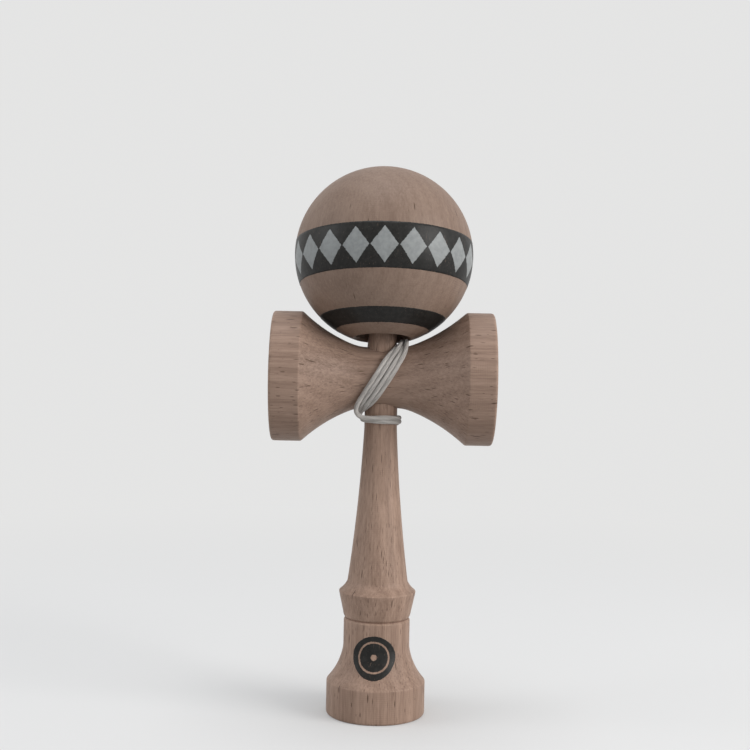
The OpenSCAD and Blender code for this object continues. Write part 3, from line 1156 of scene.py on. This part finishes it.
@dataclass(frozen=True)
class Sword:
    """The turned sword: base cup, waist, collar, handle, shaft and spike. Sizes in millimetres."""

    crossing: float
    base_d: float = 20.0
    band_height: float = 6.8
    hollow_d: float = 16.6
    hollow_depth: float = 4.8
    waist_d: float = 13.4
    waist_z: float = 13.8
    groove_z: float = 19.6
    groove_depth: float = 0.4
    groove_half: float = 0.35
    collar_d: float = 15.6
    collar_z: float = 25.0
    collar_height: float = 2.0
    handle_d: float = 12.2
    neck_d: float = 6.6
    neck_straight: float = 4.0
    shaft_d: float = 6.0
    shoulder_drop: float = 1.5
    spike_length: float = 20.5
    tip_d: float = 2.8
    tip_round: float = 0.9
    tip_sag: float = 0.3
    edge_r: float = 0.5
    flare_sag: float = 0.6
    collar_sag: float = 0.18
    handle_sag: float = 0.35
    string_hole_d: float = 2.0
    string_hole_drop: float = 4.2
    pocket_d: float = 1.86
    pocket_y: float = -0.7
    roundel_d: float = 8.4
    roundel_z: float = 12.8
    roundel_turn: float = 4.0
    roundel_ragged: float = 0.07
    roundel_waves: tuple[int, ...] = (5, 9, 14, 23, 31, 44, 57)
    roundel_seed: int = 3
    film: float = 0.04
    pale: Colour = (0.48, 0.328, 0.25)
    deep: Colour = (0.228, 0.145, 0.105)
    lathe: Lathe = Lathe(0.16, 400, 144)

    def flare(self) -> Array:
        """Outline of the base from the top of its band to the groove.

        Returns:
            Radius and height of its points.
        """
        foot, waist = [self.base_d / 2, self.band_height], [self.waist_d / 2, self.waist_z]
        groove = [self.waist_d / 2, self.groove_z - self.groove_half]
        return np.concatenate([[foot], arc(foot, waist, self.flare_sag), [groove]])

    def outline(self, cross_waist_d: float) -> Array:
        """Outline from the middle of the base cup's hollow, down to its rim and up to the spike's tip.

        Args:
            cross_waist_d: Diameter of the cross cup's waist, which the spike starts from.

        Returns:
            Radius and height of its points.
        """
        rim, edge = [self.base_d / 2 - self.edge_r, 0.0], [self.base_d / 2, self.edge_r]
        groove = [self.waist_d / 2 - self.groove_depth, self.groove_z]
        groove_top = [self.waist_d / 2, self.groove_z + self.groove_half]
        collar = [self.collar_d / 2, self.collar_z]
        handle = [self.handle_d / 2, self.collar_z + self.collar_height]
        neck = [self.neck_d / 2, self.crossing - cross_waist_d / 2 - self.neck_straight]
        shoulder, root = self.crossing - self.shoulder_drop, self.crossing + cross_waist_d / 2
        tip = root + self.spike_length
        spike = [self.tip_d / 2, tip - self.tip_round]
        return np.concatenate([
            dished(self.hollow_d / 2, self.hollow_depth), [rim], quarter_round(rim, edge),
            self.flare(), [groove, groove_top, collar],
            arc(collar, handle, self.collar_sag), arc(handle, neck, self.handle_sag),
            [[self.neck_d / 2, shoulder], [self.shaft_d / 2, shoulder], [self.shaft_d / 2, root], spike],
            arc(spike, [0.0, tip], -self.tip_sag, 12),
        ])

    def build(self, cross_waist_d: float) -> Piece:
        """Turns the sword and drills its string hole and knot pocket.

        Args:
            cross_waist_d: Diameter of the cross cup's waist, which the spike starts from.

        Returns:
            The sword.
        """
        sword = turned_piece("turned_sword", self.outline(cross_waist_d), UPRIGHT, self.lathe, Ends.AXIS)
        across = BACKWARD.at((0, 0, self.crossing - self.string_hole_drop))
        drill(sword, [
            Hole(across, self.string_hole_d / 2, self.pocket_y - HOLE_OVERLAP, self.neck_d),
            Hole(across, self.pocket_d / 2, -self.neck_d, self.pocket_y),
        ])
        return sword

    def roundel_centre(self) -> Place:
        """Middle of the round print.

        Returns:
            The place on the wood.
        """
        turn = np.radians(self.roundel_turn)
        radius = np.interp(self.roundel_z, self.flare()[:, 1], self.flare()[:, 0])
        return (-radius * np.sin(turn), -radius * np.cos(turn), self.roundel_z)

    def roundel(self) -> Piece:
        """The round print: a polar grid of distance and angle, thrown on to the base's flare from the front.

        A point at (u, v) of the disc lies at height roundel_z + v, and as far out as the wood's circle there.

        Returns:
            The print.
        """
        rings, sides, middle = 40, 180, 0.02
        angle = round_angles(sides)
        ragged = self.roundel_ragged * noise_round(angle, self.roundel_waves, self.roundel_seed)
        reach = self.roundel_d / 2 + ragged
        share = np.concatenate([np.linspace(middle, 1.0, rings), np.linspace(1.0, middle, rings)])
        u = np.multiply.outer(share, reach * np.cos(angle))
        v = np.multiply.outer(share, reach * np.sin(angle))
        flare, lift = spaced(self.flare(), 0.05), np.repeat([self.film, FILM_GAP], rings)[:, None]
        radius = np.interp(self.roundel_z + v, flare[:, 1], flare[:, 0]) + lift
        turn = np.radians(self.roundel_turn) - np.arcsin(u / radius)
        points = np.stack([-radius * np.sin(turn), -radius * np.cos(turn), self.roundel_z + v], axis=-1)
        faces = grid_faces(2 * rings, sides) + flat_ends(2 * rings * sides, sides)
        return mesh_piece("printed_roundel", points.reshape(-1, 3), [face[::-1] for face in faces])

    def dress(self, cross_waist_d: float) -> list[Piece]:
        """Builds the sword and its round print in beech and ink.

        Args:
            cross_waist_d: Diameter of the cross cup's waist, which the spike starts from.

        Returns:
            The two pieces.
        """
        wood = Beech("beech_sword", UPRIGHT, self.pale, self.deep, flecks=0.64, girth=7.0)
        ink = RingInk("ink_ring", wood, centre=self.roundel_centre())
        return [
            finish_piece(self.build(cross_waist_d), wood.material(), "sword", Body.HANDLE),
            finish_piece(self.roundel(), ink.material(), "base_roundel", Body.HANDLE),
        ]


@dataclass(frozen=True)
class CrossCup:
    """The cross cup: two cups back to back on one spool, bored for the sword. Sizes in millimetres."""

    crossing: float
    big_len: float = 22.4
    small_len: float = 22.0
    big_d: float = 26.8
    small_d: float = 26.2
    big_band: float = 5.4
    small_band: float = 5.9
    big_depth: float = 5.6
    small_depth: float = 5.2
    rim_width: float = 1.3
    waist_d: float = 12.2
    waist_len: float = 9.0
    saddle_sag: float = 0.75
    saddle_ease: float = 1.2
    edge_r: float = 0.5
    clearance: float = 0.05
    string_hole_y: float = 0.5
    pale: Colour = (0.425, 0.294, 0.227)
    deep: Colour = (0.21, 0.135, 0.099)
    lathe: Lathe = Lathe(0.14, 380, 160)

    @property
    def pose(self) -> Pose:
        """The spool lies along X at the crossing's height."""
        return SIDEWAYS.at((0, 0, self.crossing))

    def flank(self, rim_d: float, reach: float) -> Array:
        """Outline of the spool from its middle to the back of a cup's band: its waist, then an arc outwards.

        Args:
            rim_d: Diameter of the cup's band.
            reach: Distance from the middle to the back of the band.

        Returns:
            Radius of its points, and distance from the middle.
        """
        waist = [self.waist_d / 2, self.waist_len / 2]
        corners = [[[self.waist_d / 2, 0.0], waist], arc(waist, [rim_d / 2, reach], self.saddle_sag)]
        return eased(np.concatenate(corners), self.saddle_ease, Ends.FREE)

    def half(self, rim_d: float, length: float, band: float, depth: float) -> Array:
        """Outline of one cup, from the spool's middle to the middle of the cup's hollow.

        Args:
            rim_d: Diameter of the cup's band.
            length: Distance from the spool's middle to the cup's rim.
            band: Width of the cup's band.
            depth: Depth of its hollow.

        Returns:
            Radius of its points, and distance from the middle.
        """
        rim_r = rim_d / 2
        edge, rim = [rim_r, length - self.edge_r], [rim_r - self.edge_r, length]
        hollow = dished(rim_r - self.rim_width, depth)[::-1] * [1, -1] + [0, length]
        return np.concatenate([self.flank(rim_d, length - band), [edge], quarter_round(edge, rim), hollow])

    def saddle(self, x: Array) -> Array:
        """Radius of the spool between the cups' bands.

        Args:
            x: Distances along its axis, positive towards the big cup.

        Returns:
            The radius at each of them.
        """
        small, big = self.small_len - self.small_band, self.big_len - self.big_band
        sides = [self.flank(self.small_d, small), self.flank(self.big_d, big)]
        left, right = (np.interp(np.abs(x), side[:, 1], side[:, 0]) for side in sides)
        return np.where(x > 0, right, left)

    def build(self, sword: Sword) -> Piece:
        """Turns the spool and bores it for the sword and the string.

        Args:
            sword: The sword that goes through it.

        Returns:
            The cross cup.
        """
        left = self.half(self.small_d, self.small_len, self.small_band, self.small_depth) * [1, -1]
        right = self.half(self.big_d, self.big_len, self.big_band, self.big_depth)
        outline = np.concatenate([left[::-1], right[1:]])
        spool = turned_piece("turned_cross_cup", outline, self.pose, self.lathe, Ends.AXIS)
        up = UPRIGHT.at((0, 0, self.crossing))
        back = BACKWARD.at((0, 0, self.crossing - sword.string_hole_drop))
        drill(spool, [
            Hole(up, sword.shaft_d / 2 + self.clearance, -sword.shoulder_drop - HOLE_OVERLAP, self.waist_d),
            Hole(up, sword.neck_d / 2 + self.clearance, -self.waist_d, -sword.shoulder_drop),
            Hole(back, sword.string_hole_d / 2, self.string_hole_y, self.waist_d),
        ])
        return spool

    def dress(self, sword: Sword) -> list[Piece]:
        """Builds the cross cup in beech."""
        wood = Beech("beech_cross_cup", self.pose, self.pale, self.deep, flecks=0.66, girth=10.0)
        return [finish_piece(self.build(sword), wood.material(), "cross_cup", Body.HANDLE)]


@dataclass(frozen=True)
class Ball:
    """The ball with its printed bands, and the bead that it turns on. Sizes in millimetres."""

    pose: Pose
    bead_bottom: float
    ball_d: float = 36.0
    hole_d: float = 10.6
    bevel: float = 0.5
    string_hole_d: float = 2.0
    bead_d: float = 4.0
    bead_sag: float = 0.6
    bead_len: float = 3.4
    bead_bore: float = 1.15
    loose_gap: float = 0.1
    wide_band: tuple[float, float] = (-6.3, 2.5)
    narrow_band: tuple[float, float] = (-15.4, -12.9)
    wide_seed: int = 11
    narrow_seed: int = 21
    ragged: float = 0.06
    waves: tuple[int, ...] = (11, 17, 29, 43, 71, 97, 131, 163, 211)
    film: float = 0.045
    pale: Colour = (0.305, 0.217, 0.168)
    deep: Colour = (0.2, 0.133, 0.1)
    lathe: Lathe = Lathe(0.12, 380, 168)
    bead_lathe: Lathe = Lathe(0.12, 90, 64)

    def build(self) -> Piece:
        """Turns the ball: its sphere, its string hole, the spike hole's end and wall, and the bevelled mouth.

        Returns:
            The ball.
        """
        radius, hole, top = self.ball_d / 2, self.hole_d / 2, self.string_hole_d / 2
        mouth = hole + self.bevel
        end = self.bead_bottom + self.bead_len + self.loose_gap
        first, last = np.arccos(-np.sqrt(1 - (mouth / radius) ** 2)), np.arcsin(top / radius)
        angle = np.linspace(first, last, 160)
        sphere = radius * np.stack([np.sin(angle), np.cos(angle)], axis=1)
        lip = sphere[0] + [-self.bevel, self.bevel]
        outline = np.concatenate([sphere, [[top, end], [hole, end], lip, sphere[0]]])
        return turned_piece("turned_ball", outline, self.pose, self.lathe, Ends.LOOP)

    def bead(self) -> Piece:
        """Turns the bead: a barrel with a bore for the string.

        Returns:
            The bead.
        """
        end, bore = self.bead_d / 2 - self.bead_sag, self.bead_bore / 2
        low, high = self.bead_bottom, self.bead_bottom + self.bead_len
        barrel = arc([end, low], [end, high], -self.bead_sag)
        outline = np.concatenate([[[bore, low], [end, low]], barrel, [[bore, high], [bore, low]]])
        return turned_piece("turned_bead", outline, self.pose, self.bead_lathe, Ends.LOOP)

    def band(self, name: str, heights: tuple[float, float], seed: int) -> Piece:
        """A printed film: a strip of the sphere between two ragged edges, with a skin above and below.

        A point at angle a and share t of the strip lies at height low(a) + t (high(a) - low(a)) on the axis.

        Args:
            name: Name of the piece.
            heights: Heights of its two edges on the ball's axis.
            seed: Seed of its lower edge. The upper edge's is one more.

        Returns:
            The film.
        """
        rows, sides = 24, 900
        angle = round_angles(sides)
        ragged = (self.ragged * noise_round(angle, self.waves, seed + i) for i in range(2))
        low, high = (edge + off for edge, off in zip(heights, ragged))
        share = np.concatenate([np.linspace(0, 1, rows), np.linspace(1, 0, rows)])[:, None]
        height = low + share * (high - low)
        radius = self.ball_d / 2 + np.repeat([self.film, FILM_GAP], rows)[:, None]
        points = self.pose.turned(np.sqrt(radius ** 2 - height ** 2), height, angle)
        return mesh_piece(name, points.reshape(-1, 3), grid_faces(2 * rows, sides, close_rows=True))

    def dress(self) -> list[Piece]:
        """Builds the ball and its bead in beech, and the two bands in ink.

        Returns:
            The four pieces.
        """
        wood = Beech("beech_ball", self.pose, self.pale, self.deep, flecks=0.04, girth=16.0)
        beech = wood.material()
        lozenges = LozengeInk("ink_lozenges", wood, middle=sum(self.wide_band) / 2).material()
        plain = Ink("ink_plain", wood).material()
        wide = self.band("printed_wide_band", self.wide_band, self.wide_seed)
        narrow = self.band("printed_narrow_band", self.narrow_band, self.narrow_seed)
        return [
            finish_piece(self.build(), beech, "ball", Body.BALL),
            finish_piece(self.bead(), beech, "bead", Body.STRING_END),
            finish_piece(wide, lozenges, "wide_band", Body.BALL),
            finish_piece(narrow, plain, "narrow_band", Body.BALL),
        ]


@dataclass(frozen=True)
class String:
    """The string: wound slantwise round the crossing, turned round the neck, and up behind the ball.

    Its route repeats the solids', with the soft turns drawn closer together than the solid tube's, and
    piled on each other where they pass over the top and underneath. Sizes in millimetres, angles in degrees.
    """

    cross_cup: CrossCup
    sword: Sword
    ball: Ball
    knot_top: float
    d: float = 0.95
    lay: float = 0.5
    packing: float = 0.7
    end_packing: float = 0.3
    end_power: int = 6
    neck_packing: float = 0.66
    pile_over: float = 0.75
    pile_under: float = 0.6
    pair_gap: float = 0.1
    pair_edge: float = 4.0
    slant_turns: int = 4
    slant_pitch: float = 1.42
    slant_over: float = 4.22
    slant_under: float = 4.52
    slant_corner: float = 0.6
    slant_span: tuple[float, float] = (246.0, 1568.0)
    neck_drop: float = 7.9
    neck_pitch: float = 1.2
    neck_span: tuple[float, float] = (285.0, 740.0)
    step: float = 15.0
    over_first: float = -22.0
    over_last: float = 76.0
    over_step: float = 6.0
    ball_gap: float = 0.1
    softness: float = 0.55
    ring_step: float = 0.16
    sides: int = 24
    plies: int = 3
    ply_turn: float = 16.0
    ply_apart: float = 0.17
    knot_y: float = -0.8
    knot_d: float = 1.84
    knot_ply: float = 0.34
    knot_deep: float = 1.4
    lead_in: tuple = ((0, 1, -4.2), (0, 2.6, -4.2), (0, 4.2, -4.2), (0.35, 5.3, -4))
    corner: tuple = (
        (-4.75, -5.2, -5.2), (-5.1, -4.8, -6.4), (-4.75, -4.55, -7.4),
        (-3.8, -4.4, -7.95), (-2.2, -4.3, -8.0), (-0.6, -4.05, -7.95),
    )
    rise: tuple = (
        (3.2, 2.9, -9.5), (2.5, 4.4, -8.9), (1.8, 5.8, -7.3), (1.2, 7, -5.2), (0.9, 8.2, -2.8),
        (0.7, 9.5, -0.4), (0.6, 10.9, 2), (0.5, 12.3, 4.5), (0.3, 13.8, 7.1), (0.2, 15.3, 9.9),
        (0.1, 16.7, 12.7), (0, 17.9, 15.3),
    )
    top: tuple = ((2.6, 0.75), (1.3, 0.85), (0.4, 0.4), (0.05, -0.5), (0, -2))
    down_hole: tuple[float, float, float] = (4.0, 1.0, 2.0)

    def from_crossing(self, points: tuple | Array) -> Array:
        """Offsets from the crossing as places."""
        return np.asarray(points, float) + [0, 0, self.cross_cup.crossing]

    @staticmethod
    def angles(first: float, last: float, step: float) -> Array:
        """Angles at even steps, with the last one where a step meets it."""
        return np.arange(first, last + 1e-6, step)

    def slants(self) -> Array:
        """The slanting turns: x swings from the right over the top to the left underneath, on the spool.

        The turns lie side by side at the front and back, and every other one is piled up at top and bottom.

        Returns:
            Points of their route.
        """
        angle = self.angles(*self.slant_span, self.step)
        turn = np.floor(angle / 360)
        within = angle - 360 * turn
        down = np.radians(within)
        over = np.cos(down) > 0
        count = turn + np.maximum(0, within - 180) / 180
        ends = np.cos(down) ** self.end_power
        packing = self.packing + (self.end_packing - self.packing) * ends
        middle = (self.slant_turns + 1) / 2 - count
        parted = self.pair_gap * (1 - ends) * np.tanh(self.pair_edge * middle)
        middle = middle * self.slant_pitch * packing + parted
        swing = np.arcsin(self.slant_corner * np.cos(down)) / np.arcsin(self.slant_corner)
        x = middle + np.where(over, self.slant_over, self.slant_under) * swing
        raised = (np.round(count) + (np.cos(down) < 0)) % 2
        pile = np.where(over, self.pile_over, self.pile_under) * ends * raised
        radius = self.cross_cup.saddle(x) + self.lay + pile
        return self.from_crossing(np.stack([x, -radius * np.sin(down), radius * np.cos(down)], axis=1))

    def neck_turns(self) -> Array:
        """The turns round the neck: a helix that goes from the right over the back.

        Returns:
            Points of their route.
        """
        angle = self.angles(*self.neck_span, self.step)
        radius, turn = self.sword.neck_d / 2 + self.lay, np.radians(angle)
        drop = self.neck_drop + self.neck_pitch * self.neck_packing * (angle - self.neck_span[0]) / 360
        return self.from_crossing(np.stack([radius * np.cos(turn), radius * np.sin(turn), -drop], axis=1))

    def winding_route(self) -> Array:
        """The route from the knot in the sword to the last turn round the neck.

        Returns:
            Its points.
        """
        hole_z = self.cross_cup.crossing - self.sword.string_hole_drop
        parts = [[(0, self.knot_y, hole_z)], self.from_crossing(self.lead_in), self.slants()]
        return np.concatenate([*parts, self.from_crossing(self.corner), self.neck_turns()])

    def riser_route(self) -> Array:
        """The route from the neck, up behind the ball, over its top and down its string hole to the knot.

        Returns:
            Its points.
        """
        ball, radius = self.ball, self.ball.ball_d / 2
        lean = np.degrees(np.arctan2(ball.pose.axis[1], ball.pose.axis[2]))
        angle = np.radians(self.angles(self.over_first, self.over_last - lean, self.over_step))
        reach = radius + self.lay + self.ball_gap
        over = ball.pose.centre + reach * np.stack([0 * angle, np.cos(angle), np.sin(angle)], axis=1)
        first, last, step = self.down_hole
        down = np.append(np.arange(radius - first, self.knot_top + last, -step), self.knot_top)
        inside = np.array([(0, back, radius + up) for back, up in self.top] + [(0, 0, up) for up in down])
        start = self.neck_turns()[-1:]
        return np.concatenate([start, self.from_crossing(self.rise), over, ball.pose.place(inside)])

    @staticmethod
    def carried(line: Array) -> tuple[Array, Array]:
        """Directions square to a line, carried along it without a twist: each is the last, made square again.

        Args:
            line: Points of the line.

        Returns:
            Two directions at each point.
        """
        along = np.gradient(line, axis=0)
        along /= np.linalg.norm(along, axis=1)[:, None]
        side = np.empty_like(along)
        last = np.array([1.0, 0.01, 0.02])
        for i, way in enumerate(along):
            last = last - (last @ way) * way
            last = last / np.linalg.norm(last)
            side[i] = last
        return side, np.cross(along, side)

    @staticmethod
    def fibres(run: Array, twist: Array) -> Array:
        """What the material reads: the length of string, and the place round it as cosine and sine."""
        length = np.broadcast_to(run[:, None], twist.shape)
        return np.stack([length, np.cos(twist), np.sin(twist)], axis=-1).reshape(-1, 3)

    def tube(self, name: str, route: Array, started: float) -> tuple[Piece, Array]:
        """A twisted string along a route: a lobed ring for each point, turned further as it goes.

        The ring's radius is that of a few round plies lying against each other, and turns once in ply_turn.

        Args:
            name: Name of the piece.
            route: Corners of the route.
            started: Length of string before it, which sets where its twist starts.

        Returns:
            The piece, and the middle of each ring.
        """
        line = spaced(eased(route, self.softness, Ends.FREE), self.ring_step)
        run, angle = started + lengths_along(line), round_angles(self.sides)
        twist = angle[None, :] - TURN * run[:, None] / self.ply_turn
        sector = TURN / self.plies
        off = (twist + sector / 2) % sector - sector / 2
        ply = self.d / 2 / (1 + self.ply_apart)
        apart = ply * self.ply_apart
        radius = apart * np.cos(off) + np.sqrt(ply ** 2 - (apart * np.sin(off)) ** 2)
        points = rings_about(line, *self.carried(line), radius, angle)
        faces = grid_faces(len(line), self.sides) + flat_ends(len(points), self.sides)
        # How far out each point stands on its ply, which the material reads to paint shade in the valleys
        edge = ((radius - radius.min()) / np.ptp(radius)).ravel()
        return mesh_piece(name, points, faces, fibre=self.fibres(run, twist), edge=edge), line

    def knot(self, name: str, pose: Pose) -> Piece:
        """A tied knot: a round tube along a trefoil, (sin t + 2 sin 2t, cos t - 2 cos 2t, -deep sin 3t).

        Args:
            name: Name of the piece.
            pose: Where the knot's middle and axis lie.

        Returns:
            The knot.
        """
        steps, sides, twists, widest = 160, 14, 6, 3.0
        scale = (self.knot_d / 2 - self.knot_ply) / widest
        t, angle = round_angles(steps), round_angles(sides)
        x, y = np.sin(t) + 2 * np.sin(2 * t), np.cos(t) - 2 * np.cos(2 * t)
        line = scale * np.stack([x, y, -self.knot_deep * np.sin(3 * t)], axis=1)
        along = ways_round(line)
        side = ways_round(along)
        points = pose.place(rings_about(line, side, np.cross(along, side), self.knot_ply, angle))
        fibre = self.fibres(t * widest * scale, angle[None, :] - twists * t[:, None])
        faces = grid_faces(steps, sides, close_rows=True)
        return mesh_piece(name, points, faces, fibre=fibre, edge=np.ones(len(points)))

    def dress_runs(self, cotton: Material) -> list[Piece]:
        """Builds the wound run and the rising run.

        Args:
            cotton: The string's material.

        Returns:
            The two runs.
        """
        winding, winding_line = self.tube("wound_string", self.winding_route(), 0.0)
        wound = float(lengths_along(winding_line)[-1])
        riser, riser_line = self.tube("rising_string", self.riser_route(), wound)
        finish_piece(winding, cotton, "string_winding", Body.HANDLE)
        finish_piece(riser, cotton, "string_riser", None)
        neck, equator = (0, 0, riser_line[0][2] * MM), (0, 0, self.ball.pose.centre[2] * MM)
        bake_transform(riser)
        return [winding, riser]

    def dress_knots(self, cotton: Material) -> list[Piece]:
        """Ties the knot in the sword's pocket and the knot under the bead.

        Args:
            cotton: The string's material.

        Returns:
            The two knots.
        """
        pose, knot_r = self.ball.pose, self.knot_d / 2
        hole_z = self.cross_cup.crossing - self.sword.string_hole_drop
        below_bead = pose.place(np.array([0, 0, self.knot_top - knot_r]))
        first = self.knot("tied_sword_knot", BACKWARD.at((0, self.knot_y - knot_r, hole_z)))
        last = self.knot("tied_ball_knot", pose.at(below_bead))
        return [
            finish_piece(first, cotton, "sword_knot", Body.HANDLE),
            finish_piece(last, cotton, "ball_knot", Body.STRING_END),
        ]

    def dress(self) -> list[Piece]:
        """Builds the string's runs and knots in cotton."""
        cotton = Cotton().material()
        return self.dress_runs(cotton) + self.dress_knots(cotton)


# Studio

@dataclass(frozen=True)
class PhotoCamera:
    """The camera at the photograph's place. Millimetres, degrees and pixels of the photograph."""

    focal_px: float = 1300.0
    aim: Place = (-1.35, 0.0, 68.7)
    distance: float = 263.0
    look_down: float = 1.6
    roll: float = 1.15
    sensor_mm: float = 36.0
    clip_m: tuple[float, float] = (0.01, 20.0)

    def build(self) -> None:
        """Adds the camera and makes it the scene's."""
        data = bpy.data.cameras.new("photo_camera")
        data.sensor_width = self.sensor_mm
        data.lens = self.sensor_mm * self.focal_px / IMAGE_PX
        data.clip_start, data.clip_end = self.clip_m
        down, roll = np.radians(self.look_down), np.radians(self.roll)
        ahead = np.array([0.0, np.cos(down), -np.sin(down)])
        level, up = RIGHT, np.array([0.0, np.sin(down), np.cos(down)])
        right, up = level * np.cos(roll) + up * np.sin(roll), up * np.cos(roll) - level * np.sin(roll)
        eye = (np.array(self.aim) - ahead * self.distance) * MM
        camera = bpy.data.objects.new("photo_camera", data)
        camera.matrix_world = Matrix(np.column_stack([right, up, -ahead, eye]).tolist() + [[0, 0, 0, 1]])
        bpy.context.scene.collection.objects.link(camera)
        bpy.context.scene.camera = camera


@dataclass(frozen=True)
class Softbox:
    """A square soft lamp that faces a point of the toy. Metres and watts."""

    name: str
    place: Place
    size: float
    power: float
    tint: Colour = (1.0, 1.0, 1.0)
    target: Place = (0.0, 0.0, 0.06)

    def build(self) -> None:
        """Adds the lamp."""
        data = bpy.data.lights.new(self.name, "AREA")
        data.shape, data.size, data.energy, data.color = "SQUARE", self.size, self.power, self.tint
        lamp = bpy.data.objects.new(self.name, data)
        lamp.location = self.place
        lamp.rotation_euler = (Vector(self.place) - Vector(self.target)).to_track_quat("Z", "Y").to_euler()
        bpy.context.scene.collection.objects.link(lamp)


@dataclass(frozen=True)
class Studio:
    """A wide pale floor, soft lamps and an even sky that the floor runs into. Metres.

    Round the toy the floor is paper, which keeps its shadow. From the first to the second distance of the
    fade it turns into the sky's own pale, which also shows in what is glossy.
    """

    floor_half: float = 6.0
    floor_rows: int = 13
    pale: Colour = (0.78, 0.78, 0.777)
    paper: Colour = (0.42, 0.42, 0.415)
    paper_seen: Colour = (0.79, 0.79, 0.787)
    glow: float = 0.25
    fade: tuple[float, float] = (0.08, 0.32)
    sky: Colour = (0.95, 0.97, 1.0)
    sky_strength: float = 0.49
    lamps: tuple[Softbox, ...] = (
        Softbox("key", (0.716, -0.365, 0.337), 0.5, 4.9, (1.0, 0.985, 0.965)),
        Softbox("fill", (-0.759, -0.134, 0.419), 0.45, 1.5, (0.97, 0.985, 1.0)),
        Softbox("overhead", (0.0, 0.0, 0.91), 0.45, 2.26),
    )

    @staticmethod
    def background_rays(nodes: Nodes) -> Socket:
        """A mask of the rays that show the background: the camera's, and those of gloss and through glass."""
        rays = nodes.add("ShaderNodeLightPath").outputs
        return nodes.most(*(rays[f"Is {kind} Ray"] for kind in ("Glossy", "Transmission", "Camera")))

    def paper_material(self) -> Material:
        """Makes the floor's material: paper that keeps the toy's shadow, and an even pale farther out.

        Returns:
            The new material.
        """
        surface = Surface("pale_paper")
        nodes = surface.nodes
        seen = self.background_rays(nodes)
        surface.set(Base_Color=nodes.mix(seen, self.paper, self.paper_seen))
        surface.set(Roughness=0.9, Specular_IOR_Level=0.1)
        away = nodes.vector("LENGTH", nodes.add("ShaderNodeTexCoord").outputs["Object"])
        glow = nodes.math("MULTIPLY_ADD", nodes.between(away, *self.fade), 1 - self.glow, self.glow)
        lit = nodes.add("ShaderNodeEmission", {"Color": self.pale, "Strength": 1.0}).outputs[0]
        parts = {0: nodes.math("MULTIPLY", seen, glow), 1: surface.shader.outputs[0], 2: lit}
        mixed = nodes.add("ShaderNodeMixShader", parts).outputs[0]
        nodes.feed(nodes.tree.nodes["Material Output"].inputs["Surface"], mixed)
        return surface.material

    def build(self) -> None:
        """Adds the floor, the lamps and the sky."""
        line = np.linspace(-self.floor_half, self.floor_half, self.floor_rows)
        places = np.stack(np.meshgrid(line, line), axis=-1).reshape(-1, 2)
        points = np.column_stack([places, np.zeros(len(places))]) / MM
        floor = mesh_piece("floor", points, grid_faces(len(line), len(line), close_columns=False))
        floor.data.materials.append(self.paper_material())
        for lamp in self.lamps:
            lamp.build()
        world = bpy.data.worlds.new("studio")
        world.use_nodes = True
        above = Nodes(world.node_tree)
        colour = above.mix(self.background_rays(above), times(self.sky_strength, self.sky), self.pale)
        above.feed(world.node_tree.nodes["Background"].inputs["Color"], colour)
        bpy.context.scene.world = world
        bpy.context.scene.view_settings.view_transform = "Standard"


def ball_pose(frame: dict) -> Pose:
    """The ball's place and lean, from the joint that it turns on.

    Args:
        frame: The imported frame.

    Returns:
        The ball's pose.
    """
    spin = next(joint for joint in frame["joints"] if joint["name"] == "ball_spin")
    axis = np.array(spin["axis"], float)
    axis /= np.linalg.norm(axis)
    return Pose(np.array(spin["pos_m"]) / MM, RIGHT, np.cross(axis, RIGHT), axis)


def span_on_axis(node: str, pose: Pose) -> tuple[float, float]:
    """Where a CAD node lies along a piece's axis.

    Args:
        node: Name of the node.
        pose: Pose of the piece.

    Returns:
        The node's lowest and highest place, in millimetres.
    """
    points = np.array([v.co for v in bpy.data.objects[node].data.vertices]) / MM
    along = (points - pose.centre) @ pose.axis
    return float(along.min()), float(along.max())


def main() -> None:
    """Builds the toy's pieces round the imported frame, and the studio that shows them."""
    logging.basicConfig(level=logging.INFO, format="%(name)s %(message)s")
    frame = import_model()
    PhotoCamera().build()

    low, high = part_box("cross_cup")
    crossing = (low.z + high.z) / 2 / MM
    pose = ball_pose(frame)
    sword, cross_cup = Sword(crossing), CrossCup(crossing)
    ball = Ball(pose, bead_bottom=span_on_axis("bead", pose)[0])
    string = String(cross_cup, sword, ball, knot_top=span_on_axis("ball_knot", pose)[1])

    pieces = string.dress() + sword.dress(cross_cup.waist_d) + cross_cup.dress(sword) + ball.dress()
    for piece in pieces:
        LOG.info("%s: %d faces of %s", piece.name, len(piece.data.polygons), piece.active_material.name)

    Studio().build()


if __name__ == "__main__":
    main()
